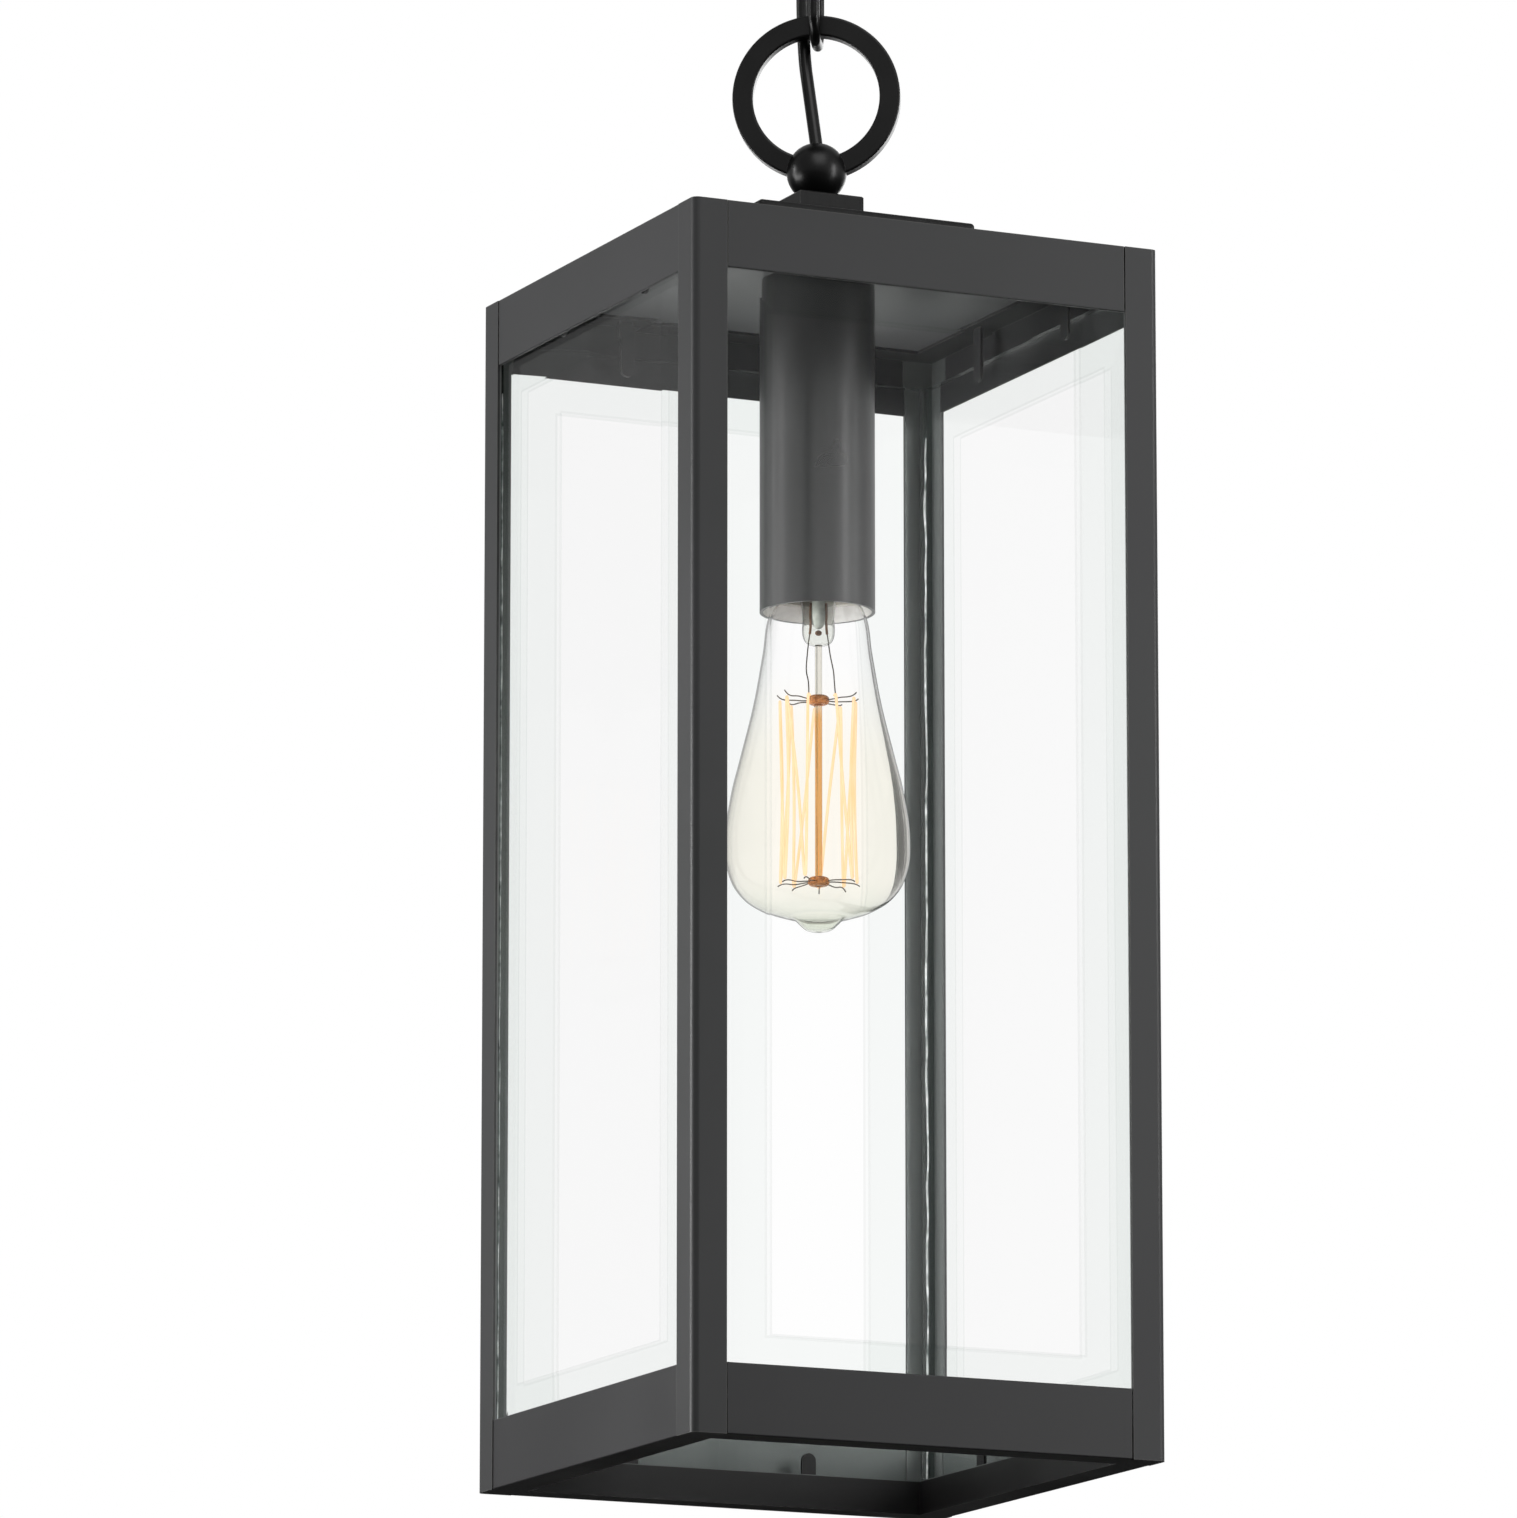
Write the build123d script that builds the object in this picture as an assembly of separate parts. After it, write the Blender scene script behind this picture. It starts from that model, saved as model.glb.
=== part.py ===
"""Square hanging lantern: glass panes in a metal frame, hung by a ring and chain from a ceiling canopy."""
from build123d import *
import math
import os

# Frame: origin at the centre of the ceiling plane, +Z up, +X along the front face, +Y to the back.
# All sizes are millimetres.

# Lantern body
BODY_SIDE = 177.8
BODY_HEIGHT = 424.0
POST_LEG = 12.7
POST_WALL = 1.5
POST_CORNER_R = 2.5
RAIL_SEAM = 0.4
RAIL_RECESS = 0.3
TOP_RAIL_HEIGHT = 23.5
BOTTOM_RAIL_HEIGHT = 24.3
RAIL_FLANGE = 12.7
RAIL_BOX_HEIGHT = 12.0
SHEET = 1.2
ROOF_SHEET = 1.5
EDGE_EASE = 0.5

# Glass panes and the tabs that keep them in
PANE_THICKNESS = 5.0
PANE_EDGE = 4.4
PANE_BEVEL = 22.0
PANE_FRONT_GAP = 0.2
PANE_CORNER_GAP = 0.6
PANE_TOP_DROP = 14.0
TAB_WIDTH = 5.4
TAB_RISE = 8.0
TAB_SPREAD = 34.4
TAB_GLASS_GAP = 1.7
CLIP_DROP = 19.0

# Roof tier, neck block, ball and ring
TIER_SIDE = 83.5
TIER_HEIGHT = 15.4
TIER_CORNER_R = 1.5
BLOCK_SIDE = 24.7
BLOCK_HEIGHT = 13.2
BALL_R = 10.65
BALL_FOOT = 10.1
BALL_CROWN = 9.6
BALL_SEAT = 0.8
RING_INNER_R = 22.4
RING_BAR = 7.3
RING_THICKNESS = 5.6
RING_RISE = 27.1
RING_END_CLEAR = 0.5
RING_EASE = 0.7
HANG_TURN = -30.0

# Chain and canopy
LINK_INNER_LENGTH = 32.0
LINK_INNER_WIDTH = 19.0
LINK_INNER_CORNER = 6.0
LINK_WIRE = 3.8
LINK_GAP = 0.3
LOOP_R = 17.0
LOOP_BAR = 6.0
HUB_WALL = 3.0
HUB_HEIGHT = 10.0
HUB_THREAD_DEPTH = 5.0
COLLAR_WALL = 5.0
COLLAR_HEIGHT = 6.0
CANOPY_R = 63.5
CANOPY_DEPTH = 22.0
CANOPY_WALL = 1.0
CANOPY_SHOULDER_R = 10.0
STRAP_LENGTH = 110.0
STRAP_WIDTH = 20.0
STRAP_SHEET = 2.0
STRAP_DROP = 12.0
STRAP_HOLE_SPACING = 88.9
STRAP_HOLE_R = 2.4
STRAP_RAISED_END = 24.0

# Threaded stems, nuts and cord
STEM_R = 5.0
STEM_BORE_R = 3.2
STEM_CLEAR = 0.05
HOLE_CLEAR = 0.2
NUT_FLATS = 14.0
NUT_HEIGHT = 4.0
CORD_R = 2.3
CORD_BORE_R = 2.8
CORD_END_GAP = 1.0
LEAD_R = 0.9
LEAD_SPREAD = 1.2
LEAD_TAIL = 2.0
SCREW_R = 2.0
SCREW_HEAD_R = 3.4
SCREW_HEAD_HEIGHT = 2.2

# Terminal block on the strap
TERMINAL_LENGTH = 18.0
TERMINAL_DEPTH = 12.0
TERMINAL_HEIGHT = 9.0
TERMINAL_OFFSET = 24.0
TERMINAL_SCREW_R = 1.6
TERMINAL_SCREW_PROUD = 0.6

# Socket tube and lampholder
TUBE_WALL = 1.2
TUBE_DROP = 120.0
TUBE_GAP = 0.65
HOLDER_WALL = 3.6
HOLDER_HEIGHT = 40.0
HOLDER_TOP_WALL = 8.0
HOLDER_RISE = 5.5
HOLDER_CAP_HEIGHT = 14.0
HOLDER_CAP_STEP = 1.0
HOLDER_CAP_WALL = 1.5
HOLDER_NECK_WALL = 3.0
HOLDER_NECK_HEIGHT = 6.0
HOLDER_HOLE_R = 1.2
HOLDER_HOLE_SPREAD = 6.0
SHELL_WALL = 0.6
SHELL_GAP = 0.45
SHELL_HEIGHT = 27.0
SHELL_BACK_GAP = 1.0
TONGUE_R = 3.0

# Bulb
CAP_R = 13.05
CAP_CLEAR = 0.3
CAP_WALL = 0.4
CAP_LENGTH = 21.6
CAP_CROWN_R = 9.8
CAP_CROWN_RISE = 1.6
INSULATOR_RISE = 2.6
INSULATOR_TOP_R = 4.8
CONTACT_RISE = 1.3
CONTACT_GAP = 0.3
BULB_WALL = 0.8
BULB_NECK_SINK = 8.0
BULB_NECK_GAP = 0.15
BULB_SHOULDER_R = 16.5
BULB_FLANK_R = 22.0
BULB_SWELL_R = 30.0
BULB_MAX_R = 31.9
BULB_TURN_IN_R = 28.2
BULB_FOOT_R = 12.0
BULB_TIP_R = 6.5
BULB_SHOULDER_DROP = 6.4
BULB_FLANK_DROP = 39.4
BULB_SWELL_DROP = 72.4
BULB_MAX_DROP = 89.9
BULB_TURN_IN_DROP = 105.4
BULB_FOOT_DROP = 114.6
BULB_LENGTH = 120.0
BULB_TIP_RISE = 2.2
STEM_FLARE_SINK = 6.0
STEM_FLARE_GAP = 0.1
STEM_GLASS_R = 5.5
STEM_PINCH_R = 3.2
STEM_GLASS_DROP = 18.1
ARBOR_R = 1.25
HUB_BEAD_R = 3.8
HUB_BEAD_LENGTH = 2.6
UPPER_BEAD_DROP = 36.4
LOWER_BEAD_DROP = 100.9
SUPPORT_R = 0.3
FILAMENT_R = 0.35
FILAMENT_CAGE_R = 13.5
FILAMENT_BENDS = 8
FEED_R = 0.4
FEED_SPREAD = 2.4
FEED_ELBOW_RISE = 4.0
FEED_ELBOW_OUT = 5.4
BULB_TURN = -116.0

# Heights, worked down from the ceiling
link_pitch = LINK_INNER_LENGTH + LINK_WIRE
strap_underside = -STRAP_DROP - STRAP_SHEET
collar_top = -CANOPY_DEPTH
hub_top = collar_top - COLLAR_HEIGHT
hub_bottom = hub_top - HUB_HEIGHT
loop_centre = hub_bottom + LOOP_BAR / 2 - LOOP_R
loop_bar_z = loop_centre - LOOP_R
upper_link_high = loop_bar_z + LOOP_BAR / 2 + LINK_GAP + LINK_WIRE / 2
upper_link_low = upper_link_high - link_pitch
lower_link_high = upper_link_low + LINK_WIRE + LINK_GAP
lower_link_low = lower_link_high - link_pitch
ring_centre = lower_link_low + LINK_WIRE / 2 + LINK_GAP - RING_INNER_R
ball_centre = ring_centre - RING_RISE
ball_top = ball_centre + BALL_CROWN
block_top = ball_centre - BALL_FOOT
tier_top = block_top - BLOCK_HEIGHT
body_top = tier_top - TIER_HEIGHT
body_bottom = body_top - BODY_HEIGHT
ledge = body_bottom + RAIL_BOX_HEIGHT
roof_underside = body_top - ROOF_SHEET
flange_underside = roof_underside - SHEET
tube_bottom = body_top - TUBE_DROP

# Depths, measured inwards from the frame's outer plane
half_side = BODY_SIDE / 2
post_inside = half_side - POST_WALL
flange_inside = half_side - RAIL_FLANGE
rail_half_length = half_side - POST_LEG - RAIL_SEAM
pane_outside = post_inside - PANE_FRONT_GAP
pane_inside = pane_outside - PANE_THICKNESS
pane_half_width = pane_inside - PANE_CORNER_GAP
tab_outside = pane_inside - TAB_GLASS_GAP
tab_inside = tab_outside - SHEET

# Radii, worked outwards from the bulb's cap and from the threaded stem
shell_inside_r = CAP_R + CAP_CLEAR
shell_r = shell_inside_r + SHELL_WALL
holder_bore_r = shell_r + SHELL_GAP
holder_r = holder_bore_r + HOLDER_WALL
tube_inside_r = holder_r + TUBE_GAP
tube_r = tube_inside_r + TUBE_WALL
bulb_neck_r = CAP_R - CAP_WALL - BULB_NECK_GAP
thread_r = STEM_R + STEM_CLEAR
stem_hole_r = STEM_R + HOLE_CLEAR
hub_r = STEM_R + HUB_WALL
collar_r = STEM_R + COLLAR_WALL

SIDES = {"front": 0, "right": 90, "back": 180, "left": 270}
CORNERS = {"front_left": 0, "front_right": 90, "back_right": 180, "back_left": 270}
HANG = Rot(0, 0, HANG_TURN)

os.makedirs("parts", exist_ok=True)


def save(name, *solids):
    """Write one node, made of one solid or of a group of separate solids."""
    shape = solids[0] if len(solids) == 1 else Compound(children=list(solids))
    export_step(shape, f"parts/{name}.step")


def block(x0, x1, y0, y1, z0, z1):
    """A box between two corners."""
    middle = Pos((x0 + x1) / 2, (y0 + y1) / 2, (z0 + z1) / 2)
    return middle * Box(x1 - x0, y1 - y0, z1 - z0)


def rod(radius, z0, z1, x=0.0, y=0.0):
    """An upright cylinder between two heights."""
    return Pos(x, y, (z0 + z1) / 2) * Cylinder(radius, z1 - z0)


def turned(*edges):
    """A solid of revolution about the Z axis, from the edges of its half section."""
    return revolve(make_face(Curve() + list(edges)), Axis.Z)


def outline(*points):
    """A closed half section of straight lines, in radius and height."""
    return Polyline(*[(r, 0, z) for r, z in points], close=True)


def strut(start, end, radius):
    """A round wire between two points."""
    line = Line(start, end)
    return sweep(Plane(line @ 0, z_dir=line % 0) * Circle(radius), path=line)


def hex_nut(z0, z1):
    """A hexagon nut on the threaded stem."""
    body = extrude(Pos(0, 0, z0) * RegularPolygon(NUT_FLATS / 2, 6, major_radius=False), z1 - z0)
    return body - rod(thread_r, z0, z1)


def mitred(outer, inner, z0, z1):
    """A front-side bar whose ends are cut at 45 degrees through the body's axis."""
    plan = Polyline((-outer, -outer), (outer, -outer), (inner, -inner), (-inner, -inner), close=True)
    return extrude(Pos(0, 0, z0) * make_face(plan), z1 - z0)


def eased(solid, z, radius):
    """The solid with the long outer front edge at height z rounded."""
    edge = solid.edges().filter_by(Axis.X).filter_by_position(Axis.Z, z - 0.01, z + 0.01).sort_by(Axis.Y)[0]
    return fillet(edge, radius)


def rail_skin(z0, z1):
    """The visible front strip between two posts."""
    front = -(half_side - RAIL_RECESS)
    return block(-rail_half_length, rail_half_length, front, -post_inside, z0, z1)


def posts():
    """Four angle posts, one at each corner."""
    corner = -half_side
    leg = corner + POST_LEG
    angle = block(corner, leg, corner, leg, body_bottom, body_top)
    hollow = corner + POST_WALL
    angle -= block(hollow, leg, hollow, leg, body_bottom, body_top)
    outer_edge = angle.edges().filter_by(Axis.Z).sort_by(lambda e: e.center().X + e.center().Y)[0]
    angle = fillet(outer_edge, POST_CORNER_R)
    for name, turn in CORNERS.items():
        save(f"post_{name}", Rot(0, 0, turn) * angle)


def rails():
    """Top rails with an inward flange, and bottom rails folded to a box that carries the glass."""
    top = rail_skin(body_top - TOP_RAIL_HEIGHT, body_top)
    top += mitred(post_inside, flange_inside, flange_underside, roof_underside)
    top = eased(top, body_top - TOP_RAIL_HEIGHT, EDGE_EASE)
    bottom = rail_skin(body_bottom, body_bottom + BOTTOM_RAIL_HEIGHT)
    bottom += mitred(post_inside, flange_inside, body_bottom, ledge)
    bottom -= mitred(post_inside - SHEET, flange_inside + SHEET, body_bottom + SHEET, ledge - SHEET)
    bottom = eased(bottom, body_bottom, EDGE_EASE)
    bottom = eased(bottom, body_bottom + BOTTOM_RAIL_HEIGHT, EDGE_EASE)
    for name, turn in SIDES.items():
        save(f"top_rail_{name}", Rot(0, 0, turn) * top)
        save(f"bottom_rail_{name}", Rot(0, 0, turn) * bottom)


def panes():
    """Four clear panes that stand on the bottom rails, bevelled all round on the outside."""
    width = 2 * pane_half_width
    height = body_top - PANE_TOP_DROP - ledge
    middle = ledge + height / 2
    bevel_depth = PANE_THICKNESS - PANE_EDGE
    flat_face = Rectangle(width - 2 * PANE_BEVEL, height - 2 * PANE_BEVEL)
    full_face = Rectangle(width, height)
    face_plane = Plane((0, -pane_outside, middle), x_dir=(1, 0, 0), z_dir=(0, 1, 0))
    edge_plane = face_plane.offset(bevel_depth)
    pane = loft([face_plane * flat_face, edge_plane * full_face], ruled=True)
    pane += extrude(edge_plane * full_face, PANE_EDGE)
    for name, turn in SIDES.items():
        save(f"glass_{name}", Rot(0, 0, turn) * pane)


def round_tab(x, z_root, z_tip):
    """A flat upright tab with a half-round tip, behind a pane."""
    centre = z_tip - math.copysign(TAB_WIDTH / 2, z_tip - z_root)
    low, high = sorted((z_root, centre))
    blade = block(x - TAB_WIDTH / 2, x + TAB_WIDTH / 2, -tab_outside, -tab_inside, low, high)
    tip = Pos(x, -(tab_outside + tab_inside) / 2, centre) * Rot(90, 0, 0) * Cylinder(TAB_WIDTH / 2, SHEET)
    return blade + tip


def glass_keepers():
    """Two tabs on each bottom rail and two clips under each top rail."""
    places = [(turn, x) for turn in SIDES.values() for x in (-TAB_SPREAD, TAB_SPREAD)]
    tabs = [Rot(0, 0, turn) * round_tab(x, ledge, ledge + TAB_RISE) for turn, x in places]
    clips = [
        Rot(0, 0, turn) * round_tab(x, flange_underside, flange_underside - CLIP_DROP)
        for turn, x in places
    ]
    save("bottom_glass_tabs", *tabs)
    save("top_glass_clips", *clips)


def roof():
    """Roof plate, raised tier and neck block, all drilled for the hanging stem."""
    stem_hole = rod(stem_hole_r, body_bottom, 0)
    plate = block(-post_inside, post_inside, -post_inside, post_inside, roof_underside, body_top)
    save("roof_plate", plate - stem_hole)
    half = TIER_SIDE / 2
    tier = block(-half, half, -half, half, body_top, tier_top)
    corners = tier.edges().filter_by(Axis.Z) + tier.faces().sort_by(Axis.Z)[-1].edges()
    tier = fillet(corners, TIER_CORNER_R)
    inside = half - SHEET
    tier -= block(-inside, inside, -inside, inside, body_top, tier_top - SHEET)
    save("roof_tier", tier - stem_hole)
    half = BLOCK_SIDE / 2
    neck = block(-half, half, -half, half, tier_top, block_top)
    neck = chamfer(neck.faces().sort_by(Axis.Z)[-1].edges(), EDGE_EASE)
    save("neck_block", neck - stem_hole)


def ring_and_ball():
    """Flat-bar ring whose two ends sit in the ball, which screws onto the stem."""
    outer = RING_INNER_R + RING_BAR
    ring = Cylinder(outer, RING_THICKNESS) - Cylinder(RING_INNER_R, RING_THICKNESS)
    ring = fillet(ring.edges().filter_by(GeomType.CIRCLE), RING_EASE)
    ring = Pos(0, 0, ring_centre) * Rot(90, 0, 0) * ring
    gap = STEM_R + RING_END_CLEAR
    ring -= block(-gap, gap, -RING_THICKNESS, RING_THICKNESS, ring_centre - 2 * outer, ring_centre)
    ball = Pos(0, 0, ball_centre) * Sphere(BALL_R)
    ball = ball & block(-BALL_R, BALL_R, -BALL_R, BALL_R, block_top, ball_top)
    ball += rod(thread_r + BALL_SEAT, block_top, ball_centre)
    ball -= rod(thread_r, block_top, ball_centre)
    ball -= rod(CORD_BORE_R, ball_centre, ball_top)
    ball -= ring
    save("hanging_ring", HANG * ring)
    save("ring_ball", HANG * ball)


def chain_link(z_high, z_low):
    """A rounded link of round wire in the XZ plane."""
    width = LINK_INNER_WIDTH + LINK_WIRE
    corner = LINK_INNER_CORNER + LINK_WIRE / 2
    plane = Plane((0, 0, (z_high + z_low) / 2), x_dir=(1, 0, 0), z_dir=(0, -1, 0))
    path = (plane * RectangleRounded(width, z_high - z_low, corner)).face().outer_wire()
    section = Plane(path @ 0, z_dir=path % 0) * Circle(LINK_WIRE / 2)
    return sweep(section, path=path)


def chain():
    """Two links at right angles to each other."""
    save("chain_link_upper", HANG * chain_link(upper_link_high, upper_link_low))
    save("chain_link_lower", HANG * Rot(0, 0, 90) * chain_link(lower_link_high, lower_link_low))


def canopy():
    """Spun canopy, its ring nut, and the loop that carries the chain."""
    inner = CANOPY_R - CANOPY_WALL
    shell = rod(CANOPY_R, -CANOPY_DEPTH, 0)
    shell = fillet(shell.edges().sort_by(Axis.Z)[0], CANOPY_SHOULDER_R)
    hollow = rod(inner, -CANOPY_DEPTH + CANOPY_WALL, 0)
    hollow = fillet(hollow.edges().sort_by(Axis.Z)[0], CANOPY_SHOULDER_R - CANOPY_WALL)
    save("ceiling_canopy", shell - hollow - rod(stem_hole_r, -CANOPY_DEPTH, 0))
    collar = rod(collar_r, hub_top, collar_top)
    collar = fillet(collar.edges().filter_by(GeomType.CIRCLE), EDGE_EASE)
    save("canopy_collar", collar - rod(thread_r, hub_top, collar_top))
    loop = Pos(0, 0, loop_centre) * Rot(0, 90, 0) * Torus(LOOP_R, LOOP_BAR / 2)
    hub = rod(hub_r, hub_bottom, hub_top)
    hub = fillet(hub.edges().sort_by(Axis.Z)[0], 2 * EDGE_EASE)
    loop = loop + hub - rod(CORD_BORE_R, hub_bottom - LOOP_BAR, hub_top)
    loop -= rod(thread_r, hub_top - HUB_THREAD_DEPTH, hub_top)
    save("canopy_loop", HANG * loop)


def strap():
    """Raised-end mounting strap, its stem and lock nut, the terminal block and the earth screw."""
    half = STRAP_LENGTH / 2
    width = STRAP_WIDTH / 2
    rise = half - STRAP_RAISED_END
    bar = block(-half, half, -width, width, -STRAP_SHEET, 0)
    bar -= block(-rise, rise, -width, width, -STRAP_SHEET, 0)
    drop = strap_underside
    bar += block(-rise - STRAP_SHEET, rise + STRAP_SHEET, -width, width, drop, -STRAP_SHEET)
    bar -= block(-rise, rise, -width, width, -STRAP_DROP, -STRAP_SHEET)
    bar += block(-rise - STRAP_SHEET, -rise, -width, width, -STRAP_SHEET, 0)
    bar += block(rise, rise + STRAP_SHEET, -width, width, -STRAP_SHEET, 0)
    for side in (-1, 1):
        bar -= rod(STRAP_HOLE_R, -STRAP_SHEET, 0, x=side * STRAP_HOLE_SPACING / 2)
    bar -= rod(thread_r, strap_underside, -STRAP_DROP)
    earth_x = -TERMINAL_OFFSET + STEM_R
    bar -= rod(SCREW_R + STEM_CLEAR, strap_underside, -STRAP_DROP, x=earth_x)
    save("mounting_strap", bar)
    nut_top = -STRAP_DROP + NUT_HEIGHT
    stem = rod(STEM_R, hub_top - HUB_THREAD_DEPTH, nut_top) - rod(STEM_BORE_R, hub_bottom, nut_top)
    save("strap_nipple", stem)
    save("nipple_locknut", hex_nut(-STRAP_DROP, nut_top))
    screw = rod(SCREW_R, strap_underside - STRAP_SHEET, -STRAP_DROP, x=earth_x)
    screw += rod(SCREW_HEAD_R, -STRAP_DROP, -STRAP_DROP + SCREW_HEAD_HEIGHT, x=earth_x)
    save("earth_screw", screw)
    terminal_strip(nut_top)


def terminal_strip(stem_top):
    """Two-way terminal block on the strap, its screws, and the leads from the stem's mouth."""
    x0 = TERMINAL_OFFSET - TERMINAL_DEPTH / 2
    x1 = TERMINAL_OFFSET + TERMINAL_DEPTH / 2
    half = TERMINAL_LENGTH / 2
    top = -STRAP_DROP + TERMINAL_HEIGHT
    body = block(x0, x1, -half, half, -STRAP_DROP, top)
    body = chamfer(body.faces().sort_by(Axis.Z)[-1].edges(), EDGE_EASE)
    screws = []
    leads = []
    for side in (-1, 1):
        y = side * TERMINAL_LENGTH / 4
        well = top - TERMINAL_HEIGHT / 2
        body -= rod(TERMINAL_SCREW_R + STEM_CLEAR, well, top, x=TERMINAL_OFFSET, y=y)
        screws.append(rod(TERMINAL_SCREW_R, well, top + TERMINAL_SCREW_PROUD, x=TERMINAL_OFFSET, y=y))
        lead_z = stem_top + LEAD_R + HOLE_CLEAR
        start = (0, side * LEAD_SPREAD, stem_top - CORD_END_GAP)
        bend = (0, side * LEAD_SPREAD, lead_z)
        end = (x0, y, lead_z)
        lead = strut(start, bend, LEAD_R) + Pos(bend) * Sphere(LEAD_R) + strut(bend, end, LEAD_R)
        leads.append(lead - body)
    save("terminal_block", body)
    save("terminal_screws", *screws)
    save("canopy_leads", *leads)


# Route of the cord, as across, away and height in the turned plane of the hanging ring.
# Each stretch ends half way along a link, on a straight run that the next stretch carries on.
LOWER_JOIN = -113.4
UPPER_JOIN = -81.7
CORD_LOWER_ROUTE = [(0.0, 0.0, -169.0), (-0.9, 2.4, -152.0), (-5.045, 6.234, -137.0), (-5.4, 6.5, LOWER_JOIN)]
CORD_MIDDLE_ROUTE = [(-5.4, 6.5, LOWER_JOIN), (-5.877, 6.858, UPPER_JOIN)]
CORD_UPPER_ROUTE = [(-5.877, 6.858, UPPER_JOIN), (-6.174, 7.081, -62.0), (0.0, 0.0, -38.0)]
ARC_SHARE = 0.45


def cord_tube(name, points):
    """A round cord along straight runs joined by the largest tangent arcs that fit."""
    places = [Vector(*p) for p in points]
    radii = []
    for a, b, c in zip(places, places[1:], places[2:]):
        turn = math.radians((b - a).get_angle(c - b))
        radii.append(ARC_SHARE * min((b - a).length, (c - b).length) / math.tan(turn / 2))
    path = FilletPolyline(*places, radius=radii) if radii else Line(*places)
    tube = sweep(Plane(path @ 0, z_dir=path % 0) * Circle(CORD_R), path=path)
    share = tube.volume / (math.pi * CORD_R**2 * path.length)
    print(f"{name}: length {path.length:.1f}, radii {[round(r, 1) for r in radii]}, volume share {share:.4f}")
    save(name, HANG * tube)


def cords():
    """The free cord in three stretches, and the lengths inside the two stems."""
    cord_tube("cord_lower", CORD_LOWER_ROUTE)
    cord_tube("cord_middle", CORD_MIDDLE_ROUTE)
    cord_tube("cord_upper", CORD_UPPER_ROUTE)
    save("canopy_cord", rod(CORD_R, hub_bottom + CORD_END_GAP, nut_seat() - CORD_END_GAP))
    save("stem_cord", rod(CORD_R, stem_bottom(), ball_top - CORD_END_GAP))


def nut_seat():
    """Height of the top of the strap's stem."""
    return -STRAP_DROP + NUT_HEIGHT


def holder_bottom():
    """Height of the lampholder's open end."""
    return tube_bottom + HOLDER_RISE


def holder_top():
    """Height of the lampholder body's top."""
    return holder_bottom() + HOLDER_HEIGHT


def stem_bottom():
    """Height of the lower end of the hanging stem, flush with the inside of the lampholder cap."""
    return holder_top() + HOLDER_CAP_HEIGHT - HOLDER_CAP_WALL


def contact_top():
    """Height of the bulb's contact button, just below the lampholder's tongue."""
    return holder_top() - HOLDER_TOP_WALL - SHELL_BACK_GAP - TONGUE_R


def lampholder():
    """Socket tube, hanging stem, and the lampholder with its cap, shell, tongue and leads."""
    tube = rod(tube_r, tube_bottom, roof_underside) - rod(tube_inside_r, tube_bottom, flange_underside)
    save("socket_tube", tube - rod(stem_hole_r, tube_bottom, body_top))
    save("tube_nut", hex_nut(flange_underside - NUT_HEIGHT, flange_underside))
    stem = rod(STEM_R, stem_bottom(), ball_centre) - rod(STEM_BORE_R, stem_bottom(), ball_centre)
    save("stem_nipple", stem)
    top = holder_top()
    cap_top = top + HOLDER_CAP_HEIGHT
    cap_r = holder_r - HOLDER_CAP_STEP
    cap = rod(cap_r, top, cap_top)
    cap = fillet(cap.edges().sort_by(Axis.Z)[-1], 4 * EDGE_EASE)
    cap -= rod(cap_r - HOLDER_CAP_WALL, top, cap_top - HOLDER_CAP_WALL)
    cap += rod(STEM_R + HOLDER_NECK_WALL, cap_top, cap_top + HOLDER_NECK_HEIGHT)
    save("holder_cap", cap - rod(thread_r, top, cap_top + HOLDER_NECK_HEIGHT))
    body = rod(holder_r, holder_bottom(), top)
    body = fillet(body.edges().sort_by(Axis.Z)[0], 2 * EDGE_EASE)
    seat = top - HOLDER_TOP_WALL
    body -= rod(holder_bore_r, holder_bottom(), seat)
    for side in (-1, 1):
        body -= rod(HOLDER_HOLE_R, seat, top, x=side * HOLDER_HOLE_SPREAD)
    save("holder_body", body)
    shell_top = seat - SHELL_BACK_GAP
    shell = rod(shell_r, shell_top - SHELL_HEIGHT, shell_top)
    shell -= rod(shell_inside_r, shell_top - SHELL_HEIGHT, shell_top)
    shell += rod(shell_r, shell_top, seat) - rod(shell_r - 2 * SHELL_WALL, shell_top, seat)
    save("screw_shell", shell)
    save("centre_contact", rod(TONGUE_R, contact_top() + CONTACT_GAP, seat))
    leads = []
    for side in (-1, 1):
        start = (side * LEAD_SPREAD, 0, stem_bottom())
        tail = (side * LEAD_SPREAD, 0, stem_bottom() - LEAD_TAIL)
        elbow = (side * HOLDER_HOLE_SPREAD, 0, top + LEAD_TAIL)
        end = (side * HOLDER_HOLE_SPREAD, 0, seat + SHELL_BACK_GAP)
        lead = strut(start, tail, LEAD_R) + Pos(tail) * Sphere(LEAD_R) + strut(tail, elbow, LEAD_R)
        leads.append(lead + Pos(elbow) * Sphere(LEAD_R) + strut(elbow, end, LEAD_R))
    save("holder_leads", *leads)


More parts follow.
